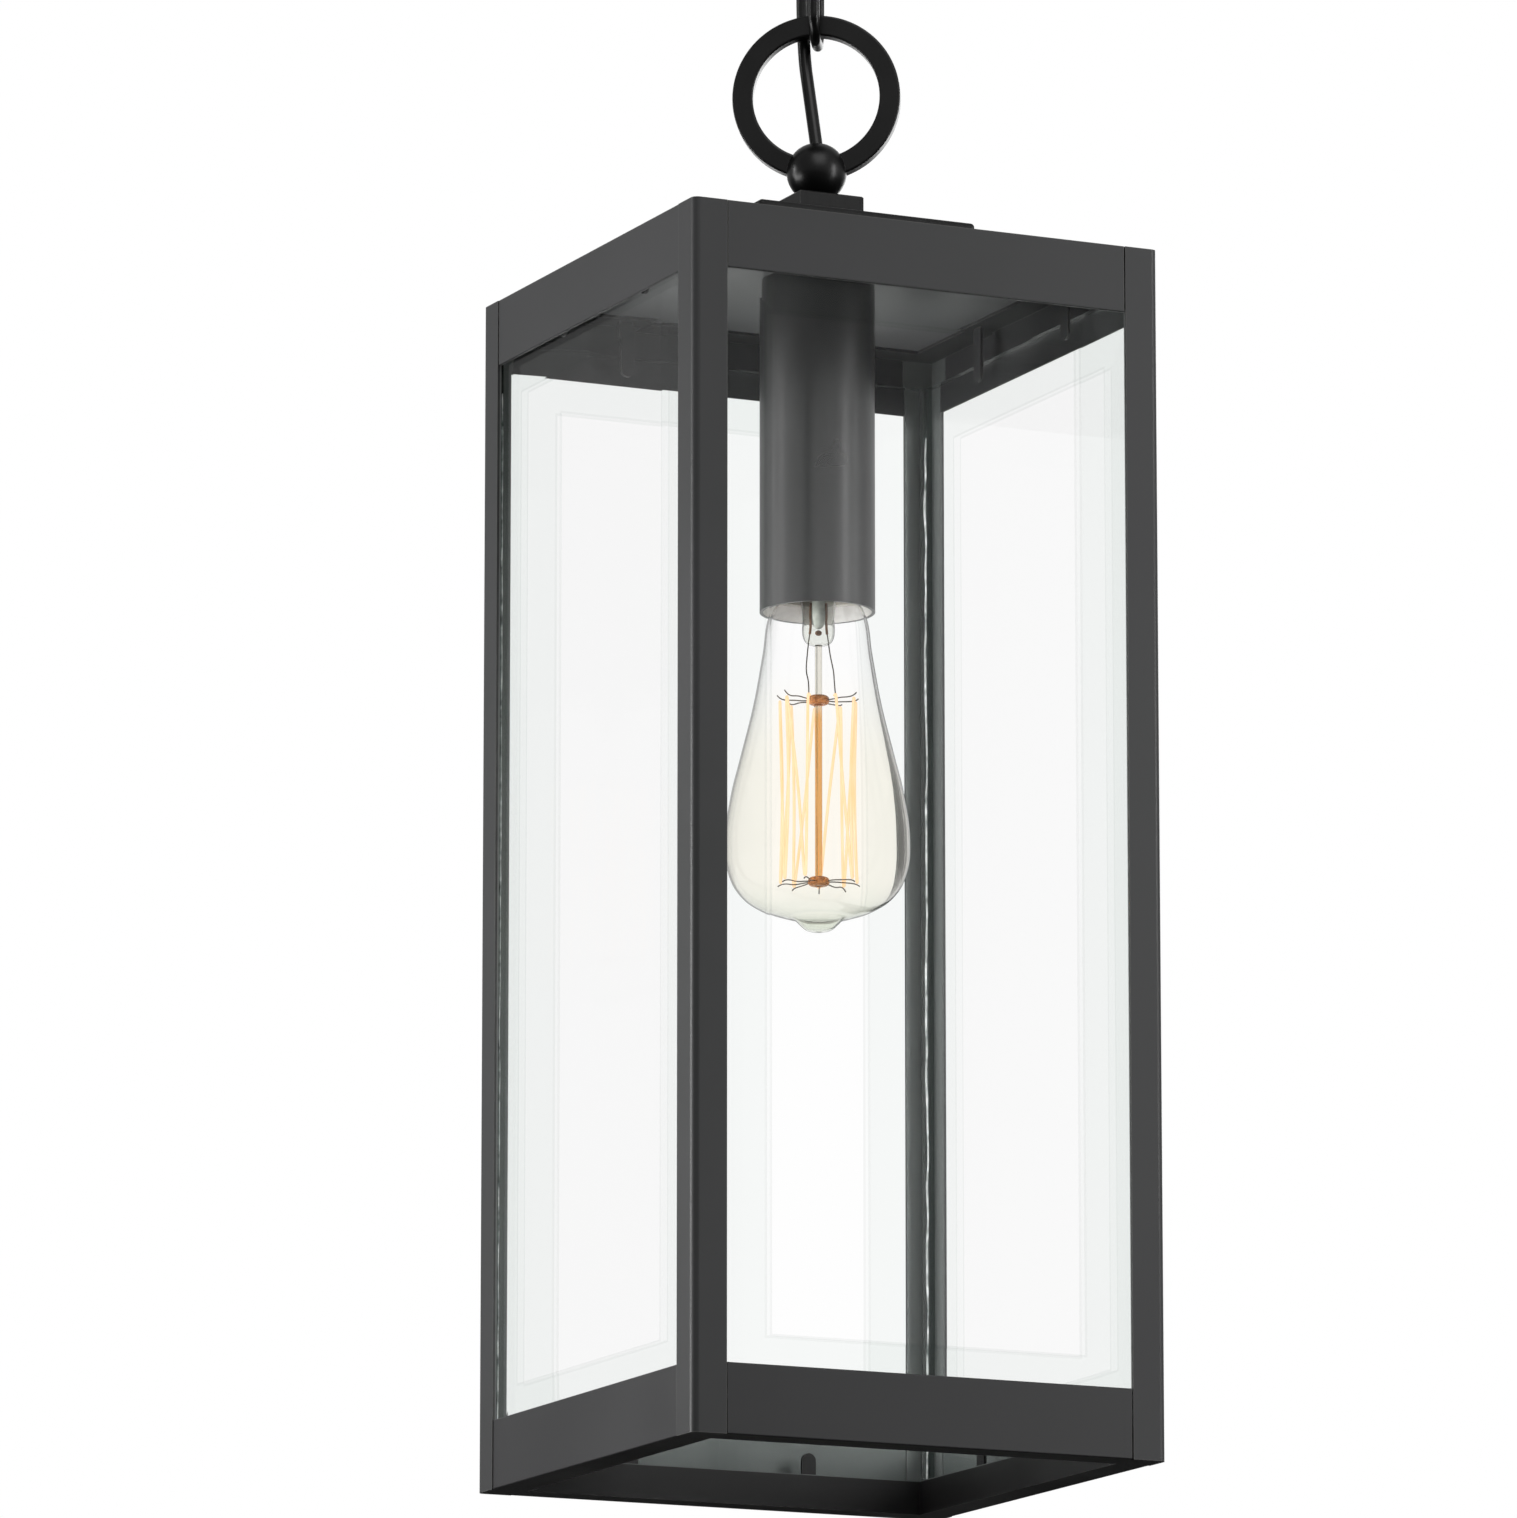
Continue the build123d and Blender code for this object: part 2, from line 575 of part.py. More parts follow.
def bulb_wall(rim, inset):
    """Edges of one face of the bulb glass, drawn in by inset: the swelling body and the drawn tip."""
    stations = [
        (bulb_neck_r, 0),
        (BULB_SHOULDER_R, BULB_SHOULDER_DROP),
        (BULB_FLANK_R, BULB_FLANK_DROP),
        (BULB_SWELL_R, BULB_SWELL_DROP),
        (BULB_MAX_R, BULB_MAX_DROP),
        (BULB_TURN_IN_R, BULB_TURN_IN_DROP),
        (BULB_FOOT_R, BULB_FOOT_DROP),
    ]
    down = (0, 0, -1)
    inwards = (-1, 0, -0.2)
    body = Spline(*[(r - inset, 0, rim - drop) for r, drop in stations], tangents=(down, inwards))
    tip_z = rim - BULB_LENGTH + inset
    tip_side = (BULB_TIP_R - inset, 0, tip_z + BULB_TIP_RISE)
    drawn = Spline(body @ 1, tip_side, (0, 0, tip_z), tangents=(body % 1, (-1, 0, 0)))
    return body, drawn


def bulb():
    """Screw-base bulb with a long cage filament; its contact is a node of its own."""
    contact = contact_top()
    insulator_top = contact - CONTACT_RISE
    crown = insulator_top - INSULATOR_RISE
    shoulder = crown - CAP_CROWN_RISE
    rim = shoulder - CAP_LENGTH
    button = rod(INSULATOR_TOP_R, insulator_top, contact)
    save("bulb_contact", fillet(button.edges().sort_by(Axis.Z)[-1], 2 * EDGE_EASE))
    cone = outline((0, insulator_top), (INSULATOR_TOP_R, insulator_top), (CAP_CROWN_R, crown), (0, crown))
    save("bulb_insulator", turned(cone))
    crown_in = CAP_CROWN_R - CAP_WALL
    cap = outline(
        (crown_in - CAP_CROWN_R / 2, crown),
        (CAP_CROWN_R, crown),
        (CAP_R, shoulder),
        (CAP_R, rim),
        (CAP_R - CAP_WALL, rim),
        (CAP_R - CAP_WALL, shoulder),
        (crown_in, crown - CAP_WALL),
        (crown_in - CAP_CROWN_R / 2, crown - CAP_WALL),
    )
    save("bulb_cap", turned(cap))
    bulb_glass(rim)
    bulb_mount(rim)


def bulb_glass(rim):
    """The blown glass, open at the neck where it is cemented into the cap."""
    outer, outer_tip = bulb_wall(rim, 0)
    inner, inner_tip = bulb_wall(rim, BULB_WALL)
    neck_top = rim + BULB_NECK_SINK
    high = (bulb_neck_r, 0, neck_top)
    high_in = (bulb_neck_r - BULB_WALL, 0, neck_top)
    edges = [
        Line(high, outer @ 0),
        outer,
        outer_tip,
        Line(outer_tip @ 1, inner_tip @ 1),
        inner_tip,
        inner,
        Line(inner @ 0, high_in),
        Line(high_in, high),
    ]
    save("bulb_glass", turned(*edges))


def bulb_mount(rim):
    """Glass stem and arbor, hub beads, support wires, feed wires and the zigzag filament."""
    flare_r = bulb_neck_r - BULB_WALL - STEM_FLARE_GAP
    flare_z = rim + STEM_FLARE_SINK
    pinch = rim - STEM_GLASS_DROP
    stem = outline(
        (0, flare_z),
        (flare_r, flare_z),
        (STEM_GLASS_R, rim - STEM_FLARE_SINK),
        (STEM_GLASS_R, pinch + STEM_PINCH_R),
        (STEM_PINCH_R, pinch),
        (0, pinch),
    )
    upper = rim - UPPER_BEAD_DROP
    lower = rim - LOWER_BEAD_DROP
    save("bulb_arbor", rod(ARBOR_R, lower - HUB_BEAD_LENGTH, pinch))
    half = HUB_BEAD_LENGTH / 2
    bead = rod(HUB_BEAD_R, -half, half) - rod(ARBOR_R, -half, half)
    save("bulb_hubs", Pos(0, 0, upper) * bead, Pos(0, 0, lower) * bead)
    step = 360 / FILAMENT_BENDS
    turn = Rot(0, 0, BULB_TURN)
    high_angles = [(bend + 0.5) * step for bend in range(FILAMENT_BENDS)]
    low_angles = [(bend + 1) * step for bend in range(FILAMENT_BENDS - 1)]
    hooks = []
    for z, angles in ((upper, high_angles[1:-1]), (lower, low_angles)):
        for angle in angles:
            root = Vector(HUB_BEAD_R, 0, z).rotate(Axis.Z, angle)
            reach = Vector(FILAMENT_CAGE_R - FILAMENT_R, 0, z).rotate(Axis.Z, angle)
            hooks.append(turn * strut(root, reach, SUPPORT_R))
    highs = [Vector(FILAMENT_CAGE_R, 0, upper).rotate(Axis.Z, angle) for angle in high_angles]
    lows = [Vector(FILAMENT_CAGE_R, 0, lower).rotate(Axis.Z, angle) for angle in low_angles]
    thread = Polyline(*[point for pair in zip(highs, lows) for point in pair], highs[-1])
    start = Plane(thread @ 0, z_dir=thread % 0) * Circle(FILAMENT_R)
    filament = sweep(start, path=thread, transition=Transition.ROUND)
    feeds = []
    for end, side in ((highs[0], 1), (highs[-1], -1)):
        root = Vector(0, side * FEED_SPREAD, pinch)
        elbow = Vector(0, side * FEED_ELBOW_OUT, upper + FEED_ELBOW_RISE)
        ease = Vector(0, side * FEED_SPREAD, pinch - FEED_ELBOW_RISE)
        feed = strut(root, ease, FEED_R) + Pos(ease) * Sphere(FEED_R) + strut(ease, elbow, FEED_R)
        feed += Pos(elbow) * Sphere(FEED_R)
        feed += strut(elbow, end, FEED_R)
        feeds.append(turn * (feed - filament))
    save("bulb_support_wires", *[hook - turn * filament for hook in hooks])
    save("bulb_filament", turn * filament)
    save("bulb_lead_wires", *feeds)
    save("bulb_stem", turned(stem))


posts()
rails()
panes()
glass_keepers()
roof()
ring_and_ball()
chain()
canopy()
strap()
cords()
lampholder()
bulb()
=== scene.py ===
"""Hanging lantern: finishes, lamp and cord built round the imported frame, with a plain white studio."""

import logging
import math
import random
from dataclasses import dataclass, field, replace
from enum import Enum
from typing import Any, Sequence

import bmesh
import bpy
from mathutils import Matrix, Vector


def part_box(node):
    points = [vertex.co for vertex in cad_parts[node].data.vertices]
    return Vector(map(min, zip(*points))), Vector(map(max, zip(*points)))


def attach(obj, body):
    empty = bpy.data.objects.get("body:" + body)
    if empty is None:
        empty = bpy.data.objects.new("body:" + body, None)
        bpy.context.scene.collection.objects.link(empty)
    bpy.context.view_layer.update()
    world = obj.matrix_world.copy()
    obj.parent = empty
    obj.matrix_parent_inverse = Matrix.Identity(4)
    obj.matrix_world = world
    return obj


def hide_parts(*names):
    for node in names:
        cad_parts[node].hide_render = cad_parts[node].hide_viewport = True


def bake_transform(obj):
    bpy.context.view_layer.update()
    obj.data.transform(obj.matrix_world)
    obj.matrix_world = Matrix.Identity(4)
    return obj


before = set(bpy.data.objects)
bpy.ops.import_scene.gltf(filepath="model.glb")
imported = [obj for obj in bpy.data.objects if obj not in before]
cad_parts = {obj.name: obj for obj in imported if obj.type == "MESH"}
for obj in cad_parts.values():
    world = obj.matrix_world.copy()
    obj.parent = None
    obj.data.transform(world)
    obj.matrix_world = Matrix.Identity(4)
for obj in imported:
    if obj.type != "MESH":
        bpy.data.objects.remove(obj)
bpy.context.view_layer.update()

LOG = logging.getLogger("lantern")
MM = 0.001
# The middle part of a noise's values, over which a mottle goes from one colour to the other
CLOUD_RANGE = (0.3, 0.7)
# How far a rounded normal turns from the flat one, as a cosine, from no edge to a full edge
EDGE_TURN = (0.998, 0.8)
# How much of the painted edge highlight a full edge takes
EDGE_HIGHLIGHT_SHARE = 0.6
# Vertices closer than this are one
WELD_M = 1e-6
Point = tuple[float, float, float]
Station = tuple[float, float]
Span = tuple[float, float]
Tree = bpy.types.NodeTree
Socket = bpy.types.NodeSocket


class Body(str, Enum):
    """The moving bodies that pieces ride on."""

    CEILING = "ceiling"
    UPPER_LINK = "upper_link"
    LOWER_LINK = "lower_link"
    LANTERN = "lantern"
    BULB_BASE = "bulb_base"
    BULB = "bulb"


def colour(code: str) -> tuple[float, float, float, float]:
    """Turn an sRGB hex code into a linear colour.

    Args:
        code: six hex digits after a hash.

    Returns:
        Linear red, green, blue and a full alpha.
    """
    parts = [int(code[i : i + 2], 16) / 255 for i in (1, 3, 5)]
    linear = [c / 12.92 if c <= 0.04045 else ((c + 0.055) / 1.055) ** 2.4 for c in parts]
    return (linear[0], linear[1], linear[2], 1.0)


def add(tree: Tree, kind: str, inputs: dict[Any, Any] | None = None, **settings: Any) -> bpy.types.Node:
    """Add a node with its settings, and set or link its inputs.

    Args:
        tree: node tree that takes the node.
        kind: the node's type name.
        inputs: socket names or numbers, each with a value or with the socket that feeds it.
        settings: the node's own properties.

    Returns:
        The new node.
    """
    node = tree.nodes.new(kind)
    for name, value in settings.items():
        setattr(node, name, value)
    for socket, value in (inputs or {}).items():
        if isinstance(value, Socket):
            tree.links.new(value, node.inputs[socket])
        else:
            node.inputs[socket].default_value = value
    return node


def calc(tree: Tree, kind: str, first: Any, second: Any = 0.0) -> Socket:
    """Add one step of arithmetic on numbers or sockets, and return the result's socket."""
    return add(tree, "ShaderNodeMath", {0: first, 1: second}, operation=kind).outputs[0]


def between(tree: Tree, share: Any, none: Any, full: Any) -> Socket:
    """Add a mix of two colours, the first at a share of 0 and the second at 1, and return its socket."""
    return add(tree, "ShaderNodeMix", {"Factor": share, 6: none, 7: full}, data_type="RGBA").outputs[2]


def fit(tree: Tree, value: Socket, source: Span, target: Span = (0.0, 1.0), **settings: Any) -> Socket:
    """Add a clamped map of a value from one range to another, and return its socket."""
    ends = {"From Min": source[0], "From Max": source[1], "To Min": target[0], "To Max": target[1]}
    return add(tree, "ShaderNodeMapRange", {"Value": value, **ends}, **settings).outputs["Result"]


def noise(tree: Tree, place: Socket, size_mm: float, detail: float) -> Socket:
    """Add cloudy noise with patches of about a given size, and return its value's socket."""
    inputs = {"Vector": place, "Scale": 1 / (size_mm * MM), "Detail": detail}
    return add(tree, "ShaderNodeTexNoise", inputs).outputs["Fac"]


def seen_ray(tree: Tree) -> Socket:
    """Return a socket that is 1 for what the eye sees, straight or through glass, and else 0."""
    path = add(tree, "ShaderNodeLightPath").outputs
    return calc(tree, "MAXIMUM", path["Is Camera Ray"], path["Is Transmission Ray"])


@dataclass(frozen=True)
class Finish:
    """A finish with a name; the kinds of finish below say how it is shaded."""

    name: str

    def material(self) -> bpy.types.Material:
        """Return this finish's material, made on its first use."""
        made = bpy.data.materials.get(self.name)
        if made is None:
            made = bpy.data.materials.new(self.name)
            made.use_nodes = True
            made.node_tree.nodes.clear()
            place = add(made.node_tree, "ShaderNodeTexCoord").outputs["Object"]
            surface = self.shade(made.node_tree, place)
            add(made.node_tree, "ShaderNodeOutputMaterial", {"Surface": surface})
        return made

    def shade(self, tree: Tree, place: Socket) -> Socket:
        """Build the shader; each kind of finish has its own.

        Args:
            tree: the material's node tree.
            place: Object coordinates.

        Returns:
            The shader's output socket.
        """
        raise NotImplementedError(self.name)


@dataclass(frozen=True)
class Opaque(Finish):
    """Paint, metal, plastic or ceramic: a soft mottle of two colours, uneven gloss and a fine surface grain."""

    light: str = "#808080"
    dark: str = "#707070"
    mottle_mm: float = 40.0
    stretch: Point = (1.0, 1.0, 1.0)
    rough: Span = (0.4, 0.5)
    grain_mm: float = 2.0
    grain_height_mm: float = 0.02
    metallic: float = 0.0
    ior: float = 1.5
    specular: float = 0.5
    coat: float = 0.0
    # A paler colour painted on sharp edges as a painted highlight, and how far it reaches
    edge: str | None = None
    edge_mm: float = 0.7
    # Colours painted below and above the ledge on the sides that face the middle: painted shade and painted light
    inside: tuple[str, str] | None = None
    inner_painted_reach_mm: float = 0.0
    ledge_mm: float = 0.0

    def shade(self, tree: Tree, place: Socket) -> Socket:
        """Build the shader."""
        spread = add(tree, "ShaderNodeMapping", {"Vector": place, "Scale": self.stretch}).outputs["Vector"]
        cloud = noise(tree, spread, self.mottle_mm, 4.0)
        tint = between(tree, fit(tree, cloud, CLOUD_RANGE), colour(self.dark), colour(self.light))
        if self.inside is not None:
            tint = self.paint_inner_light_and_shade(tree, place, tint, self.inside)
        if self.edge is not None:
            tint = self.paint_edge_highlight(tree, tint, self.edge)
        grain = noise(tree, spread, self.grain_mm, 2.0)
        bump = {"Height": grain, "Distance": self.grain_height_mm * MM, "Strength": 1.0}
        relief = add(tree, "ShaderNodeBump", bump).outputs["Normal"]
        shader = add(
            tree,
            "ShaderNodeBsdfPrincipled",
            {
                "Base Color": tint,
                "Roughness": fit(tree, cloud, CLOUD_RANGE, self.rough),
                "Normal": relief,
                "Metallic": self.metallic,
                "IOR": self.ior,
                "Specular IOR Level": self.specular,
                "Coat Weight": self.coat,
                "Coat Roughness": 0.08,
            },
        )
        return shader.outputs["BSDF"]

    def paint_inner_light_and_shade(self, tree: Tree, place: Socket, tint: Socket, inside: tuple[str, str]) -> Socket:
        """Paint light and shade on the sides that face the lantern's middle, in one colour below the ledge and another
        above it.
        """
        spot = add(tree, "ShaderNodeSeparateXYZ", {"Vector": place}).outputs
        reach = calc(tree, "MAXIMUM", *(calc(tree, "ABSOLUTE", spot[way]) for way in "XY"))
        under = calc(tree, "LESS_THAN", spot["Z"], self.ledge_mm * MM)
        inner_painted_tone = between(tree, under, colour(inside[1]), colour(inside[0]))
        return between(tree, calc(tree, "LESS_THAN", reach, self.inner_painted_reach_mm * MM), tint, inner_painted_tone)

    def paint_edge_highlight(self, tree: Tree, tint: Socket, edge: str) -> Socket:
        """Paint a highlight on sharp edges, where the rounded normal turns away from the flat one."""
        soft = add(tree, "ShaderNodeBevel", {"Radius": self.edge_mm * MM}, samples=4).outputs["Normal"]
        flat = add(tree, "ShaderNodeNewGeometry").outputs["Normal"]
        turn = add(tree, "ShaderNodeVectorMath", {0: soft, 1: flat}, operation="DOT_PRODUCT").outputs["Value"]
        return between(tree, fit(tree, turn, EDGE_TURN, (0.0, EDGE_HIGHLIGHT_SHARE)), tint, colour(edge))


@dataclass(frozen=True)
class Glass(Finish):
    """Clear glass that lets the lamps through, with a tint that may change with height in bands of painted light and
    shade, and faint waves.
    """

    tint: str = "#f6faf8"
    # Height bands of painted light and shade: the colour, and the heights in mm where it starts and where it is full
    bands: tuple[tuple[str, float, float], ...] = ()
    ior: float = 1.52
    rough: float = 0.0
    wave_mm: float = 60.0
    wave_height_mm: float = 0.01

    def shade(self, tree: Tree, place: Socket) -> Socket:
        """Build the shader."""
        height = add(tree, "ShaderNodeSeparateXYZ", {"Vector": place}).outputs["Z"]
        tone = colour(self.tint)
        for tint, start_mm, end_mm in self.bands:
            fall = fit(tree, height, (start_mm * MM, end_mm * MM), interpolation_type="SMOOTHSTEP")
            tone = between(tree, fall, tone, colour(tint))
        return self.clear(tree, place, tone)

    def clear(self, tree: Tree, place: Socket, tone: Any) -> Socket:
        """Build the see-through shader in a given tone.

        Args:
            tree: the material's node tree.
            place: Object coordinates.
            tone: the glass colour, or the socket that gives it.

        Returns:
            The shader's output socket.
        """
        wave = noise(tree, place, self.wave_mm, 1.0)
        relief = add(
            tree, "ShaderNodeBump", {"Height": wave, "Distance": self.wave_height_mm * MM, "Strength": 1.0}
        )
        glass = add(
            tree,
            "ShaderNodeBsdfPrincipled",
            {
                "Base Color": tone,
                "Roughness": self.rough,
                "IOR": self.ior,
                "Transmission Weight": 1.0,
                "Normal": relief.outputs["Normal"],
            },
        )
        shadow = add(tree, "ShaderNodeLightPath").outputs["Is Shadow Ray"]
        clear = add(tree, "ShaderNodeBsdfTransparent", {"Color": colour(self.tint)})
        mix = add(
            tree, "ShaderNodeMixShader", {"Fac": shadow, 1: glass.outputs["BSDF"], 2: clear.outputs["BSDF"]}
        )
        return mix.outputs["Shader"]


@dataclass(frozen=True)
class PaneGlass(Glass):
    """Flat glass whose polished bevel has a paler band with a fine line painted over it as painted reflection, and
    whose sawn edge is grey green.
    """

    bevel_mm: float = 22.0
    bevel_painted_reflection: str = "#f7f9f8"
    line_mm: float = 0.9
    line_painted_reflection: str = "#eceeed"
    edge_mm: float = 0.08
    edge_tint: str = "#5d6b66"

    def shade(self, tree: Tree, place: Socket) -> Socket:
        """Build the shader from each point's distance to its pane's border."""
        low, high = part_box("glass_front")
        spot = add(tree, "ShaderNodeSeparateXYZ", {"Vector": place}).outputs
        across = calc(tree, "MINIMUM", *(calc(tree, "ABSOLUTE", spot[way]) for way in "XY"))
        side = calc(tree, "SUBTRACT", high.x, across)
        above = calc(tree, "SUBTRACT", spot["Z"], low.z)
        below = calc(tree, "SUBTRACT", high.z, spot["Z"])
        border = calc(tree, "MINIMUM", side, calc(tree, "MINIMUM", above, below))
        tone = colour(self.tint)
        # Painted reflection: a band over the bevel and a fine line at its border; then the sawn edge's own grey green
        for width_mm, tint in (
            (self.bevel_mm + self.line_mm, self.line_painted_reflection),
            (self.bevel_mm, self.bevel_painted_reflection),
            (self.edge_mm, self.edge_tint),
        ):
            tone = between(tree, calc(tree, "LESS_THAN", border, width_mm * MM), tone, colour(tint))
        return self.clear(tree, place, tone)


@dataclass(frozen=True)
class HotWire(Finish):
    """A glowing wire: pale in the middle, amber at its edge, warmer in patches along it."""

    core: str = "#fff0c0"
    rim: str = "#f0a040"
    warm: str = "#ffd080"
    cold: str = "#7a4a20"
    patch_mm: float = 14.0
    strength: float = 1.0

    def shade(self, tree: Tree, place: Socket) -> Socket:
        """Build the shader."""
        facing = add(tree, "ShaderNodeLayerWeight", {"Blend": 0.4}).outputs["Facing"]
        ramp = between(tree, facing, colour(self.core), colour(self.rim))
        shade = between(tree, noise(tree, place, self.patch_mm, 1.0), ramp, colour(self.warm))
        glow = add(
            tree,
            "ShaderNodeBsdfPrincipled",
            {
                "Base Color": colour(self.cold),
                "Roughness": 0.6,
                "Emission Color": shade,
                "Emission Strength": self.strength,
            },
        )
        return glow.outputs["BSDF"]


@dataclass(frozen=True)
class StudioFloor(Finish):
    """A matt floor, pale to the eye, greyer for bounced light, that goes over into the white backdrop far out."""

    pale: str = "#f6f6f5"
    bounce: str = "#4c4c4c"
    lift: float = 0.3
    near_m: float = 4.0
    far_m: float = 26.0

    def shade(self, tree: Tree, place: Socket) -> Socket:
        """Build the shader; the length of the Object coordinates tells how far out the floor is."""
        seen = seen_ray(tree)
        tone = between(tree, seen, colour(self.bounce), colour(self.pale))
        matt = add(tree, "ShaderNodeBsdfDiffuse", {"Color": tone, "Roughness": 0.5})
        lift = calc(tree, "MULTIPLY", seen, self.lift)
        haze = add(tree, "ShaderNodeEmission", {"Color": colour(self.pale), "Strength": lift})
        both = add(tree, "ShaderNodeAddShader", {0: matt.outputs["BSDF"], 1: haze.outputs["Emission"]})
        reach = add(tree, "ShaderNodeVectorMath", {0: place}, operation="LENGTH").outputs["Value"]
        gone = calc(tree, "MULTIPLY", seen, fit(tree, reach, (self.near_m, self.far_m)))
        white = add(tree, "ShaderNodeEmission", {"Color": colour("#ffffff"), "Strength": 1.0})
        out = add(tree, "ShaderNodeMixShader", {0: gone, 1: both.outputs["Shader"], 2: white.outputs["Emission"]})
        return out.outputs["Shader"]


# Powder coat on steel: an even dark grey skin, half matt, with a faint orange peel and a paler painted highlight along
# its edges
FRAME_COAT = Opaque(
    "powder_coated_steel_dark_grey", light="#2b2b2c", dark="#262727", mottle_mm=70.0, rough=(0.40, 0.50),
    grain_mm=1.2, grain_height_mm=0.003, specular=0.22, edge="#5e5e5b", edge_mm=0.5,
)
# The same coat on the posts, with painted light in grey inside the angle, behind the glass
POST_COAT = replace(FRAME_COAT, name="powder_coated_angle_post", inside=("#565958", "#565958"), inner_painted_reach_mm=88.0)
# The coat on the bottom rails: a shade darker, with painted shade nearly black inside the box, painted light in grey
# behind the glass and a painted highlight on its edges
SILL_COAT = Opaque(
    "powder_coated_sill", light="#262627", dark="#202021", mottle_mm=70.0, rough=(0.36, 0.48), grain_mm=1.2,
    grain_height_mm=0.003, specular=0.22, edge="#3c3a38", edge_mm=0.4, inside=("#070707", "#4b4f4e"),
    inner_painted_reach_mm=87.6, ledge_mm=-629.6,
)
# The coat under the roof, painted paler grey than the frame as painted light on its underside
ROOF_COAT_PAINTED_LIGHT = Opaque(
    "roof_sheet_painted_light", light="#545556", dark="#484949", mottle_mm=90.0, rough=(0.34, 0.46), grain_mm=1.2,
    grain_height_mm=0.003, specular=0.4,
)
# The coat on the sawn neck block and the tier: darker, with the upright lines of the saw under it and a painted
# highlight on its edges
NECK_COAT = Opaque(
    "powder_coated_sawn_block", light="#121212", dark="#0b0b0b", mottle_mm=1.6, stretch=(1.0, 1.0, 0.04),
    rough=(0.38, 0.5), grain_mm=1.0, grain_height_mm=0.02, specular=0.14, edge="#565654", edge_mm=0.4,
)
# The same coat on the drawn tube, a little smoother, so that the strip lamps show as two soft upright bands
TUBE_COAT = Opaque(
    "powder_coated_drawn_tube", light="#1b1c1c", dark="#161717", mottle_mm=60.0, rough=(0.27, 0.32), grain_mm=1.2,
    grain_height_mm=0.002, specular=1.0,
)
# Satin black paint on bent bar and cast ball: deeper than the frame, with a soft narrow shine and a painted highlight
# on its edges
HANGER_PAINT = Opaque(
    "satin_black_painted_steel", light="#070707", dark="#040404", mottle_mm=25.0, rough=(0.26, 0.36), grain_mm=1.1,
    grain_height_mm=0.004, specular=0.19, edge="#5a5a58", edge_mm=0.5,
)
# White enamel sprayed inside the tube's mouth: bright and slightly glossy, it lights the bulb's neck
MOUTH_ENAMEL = Opaque(
    "sprayed_white_enamel", light="#fbfaf7", dark="#f1f0ec", mottle_mm=6.0, rough=(0.2, 0.34), grain_mm=1.0,
    grain_height_mm=0.006,
)
# Black oxide spring steel: nearly black tabs with a dull shine and a painted highlight on their edges
CLIP_STEEL = Opaque(
    "black_oxide_spring_steel", light="#0e0e0e", dark="#080808", mottle_mm=6.0, rough=(0.38, 0.52), grain_mm=0.8,
    specular=0.2, edge="#3c3b3a", edge_mm=0.3,
)
# Zinc plated steel: bluish grey, cloudy, with drawn lines along the strip
ZINC_STEEL = Opaque(
    "zinc_plated_steel", light="#c9ccd0", dark="#a4a8ad", mottle_mm=9.0, stretch=(0.35, 1.0, 1.0),
    rough=(0.25, 0.42), grain_mm=0.7, grain_height_mm=0.006, metallic=1.0,
)
# Green dyed zinc: the earth screw, a thin see-through dye over metal
EARTH_GREEN = Opaque(
    "green_dyed_zinc_steel", light="#2f8f4a", dark="#1f6b36", mottle_mm=2.5, rough=(0.28, 0.4), grain_mm=0.6,
    metallic=0.8,
)
# Extruded black PVC: a smooth sheath with a soft long highlight and faint die lines
CORD_PVC = Opaque(
    "extruded_black_pvc", light="#131313", dark="#0c0c0c", mottle_mm=8.0, stretch=(1.0, 1.0, 0.15),
    rough=(0.26, 0.36), grain_mm=0.9, grain_height_mm=0.006, specular=0.2,
)
# Pale PVC wire insulation: off white with a waxy shine
LEAD_PVC = Opaque(
    "pale_pvc_insulation", light="#e2e0d8", dark="#d2cfc6", mottle_mm=5.0, rough=(0.35, 0.45), grain_mm=0.8
)
# Moulded polyamide: milky white terminal block with a slight shine
TERMINAL_NYLON = Opaque(
    "moulded_white_polyamide", light="#eeece4", dark="#e0ddd3", mottle_mm=6.0, rough=(0.3, 0.42), grain_mm=0.9
)
# Stamped brass: warm yellow, drawn lines, duller patches where it has been handled
BRASS = Opaque(
    "stamped_brass", light="#d9b56a", dark="#b98f45", mottle_mm=4.0, stretch=(1.0, 1.0, 0.4), rough=(0.22, 0.4),
    grain_mm=0.5, grain_height_mm=0.006, metallic=1.0,
)
# Pressed steel cup: grey with circular draw marks
CUP_STEEL = Opaque(
    "pressed_steel", light="#b4b4b0", dark="#93938f", mottle_mm=6.0, stretch=(1.0, 1.0, 3.0), rough=(0.3, 0.46),
    grain_mm=0.6, grain_height_mm=0.006, metallic=1.0,
)
# Glazed porcelain: warm white body with a wet glaze and tiny pits
PORCELAIN = Opaque(
    "glazed_white_porcelain", light="#ece9e0", dark="#e0dcd0", mottle_mm=8.0, rough=(0.12, 0.2), grain_mm=1.4,
    grain_height_mm=0.012, coat=0.6,
)
# Rolled aluminium screw cap: pale, soft, with drawn rings and dull smears
CAP_ALUMINIUM = Opaque(
    "rolled_aluminium", light="#d8d6d0", dark="#b9b6ae", mottle_mm=7.0, stretch=(1.0, 1.0, 2.5), rough=(0.26, 0.42),
    grain_mm=0.7, grain_height_mm=0.008, metallic=1.0,
)
# Soft solder: a dull grey button with a frosty skin
SOLDER = Opaque(
    "soft_solder", light="#b9bab8", dark="#8f908e", mottle_mm=2.0, rough=(0.32, 0.55), grain_mm=0.8,
    grain_height_mm=0.03, metallic=1.0,
)
# Vitrite: black pressed glass that insulates the contact
VITRITE = Opaque(
    "black_vitrite_glass", light="#0f0f12", dark="#08080a", mottle_mm=3.0, rough=(0.08, 0.2), grain_mm=1.2
)
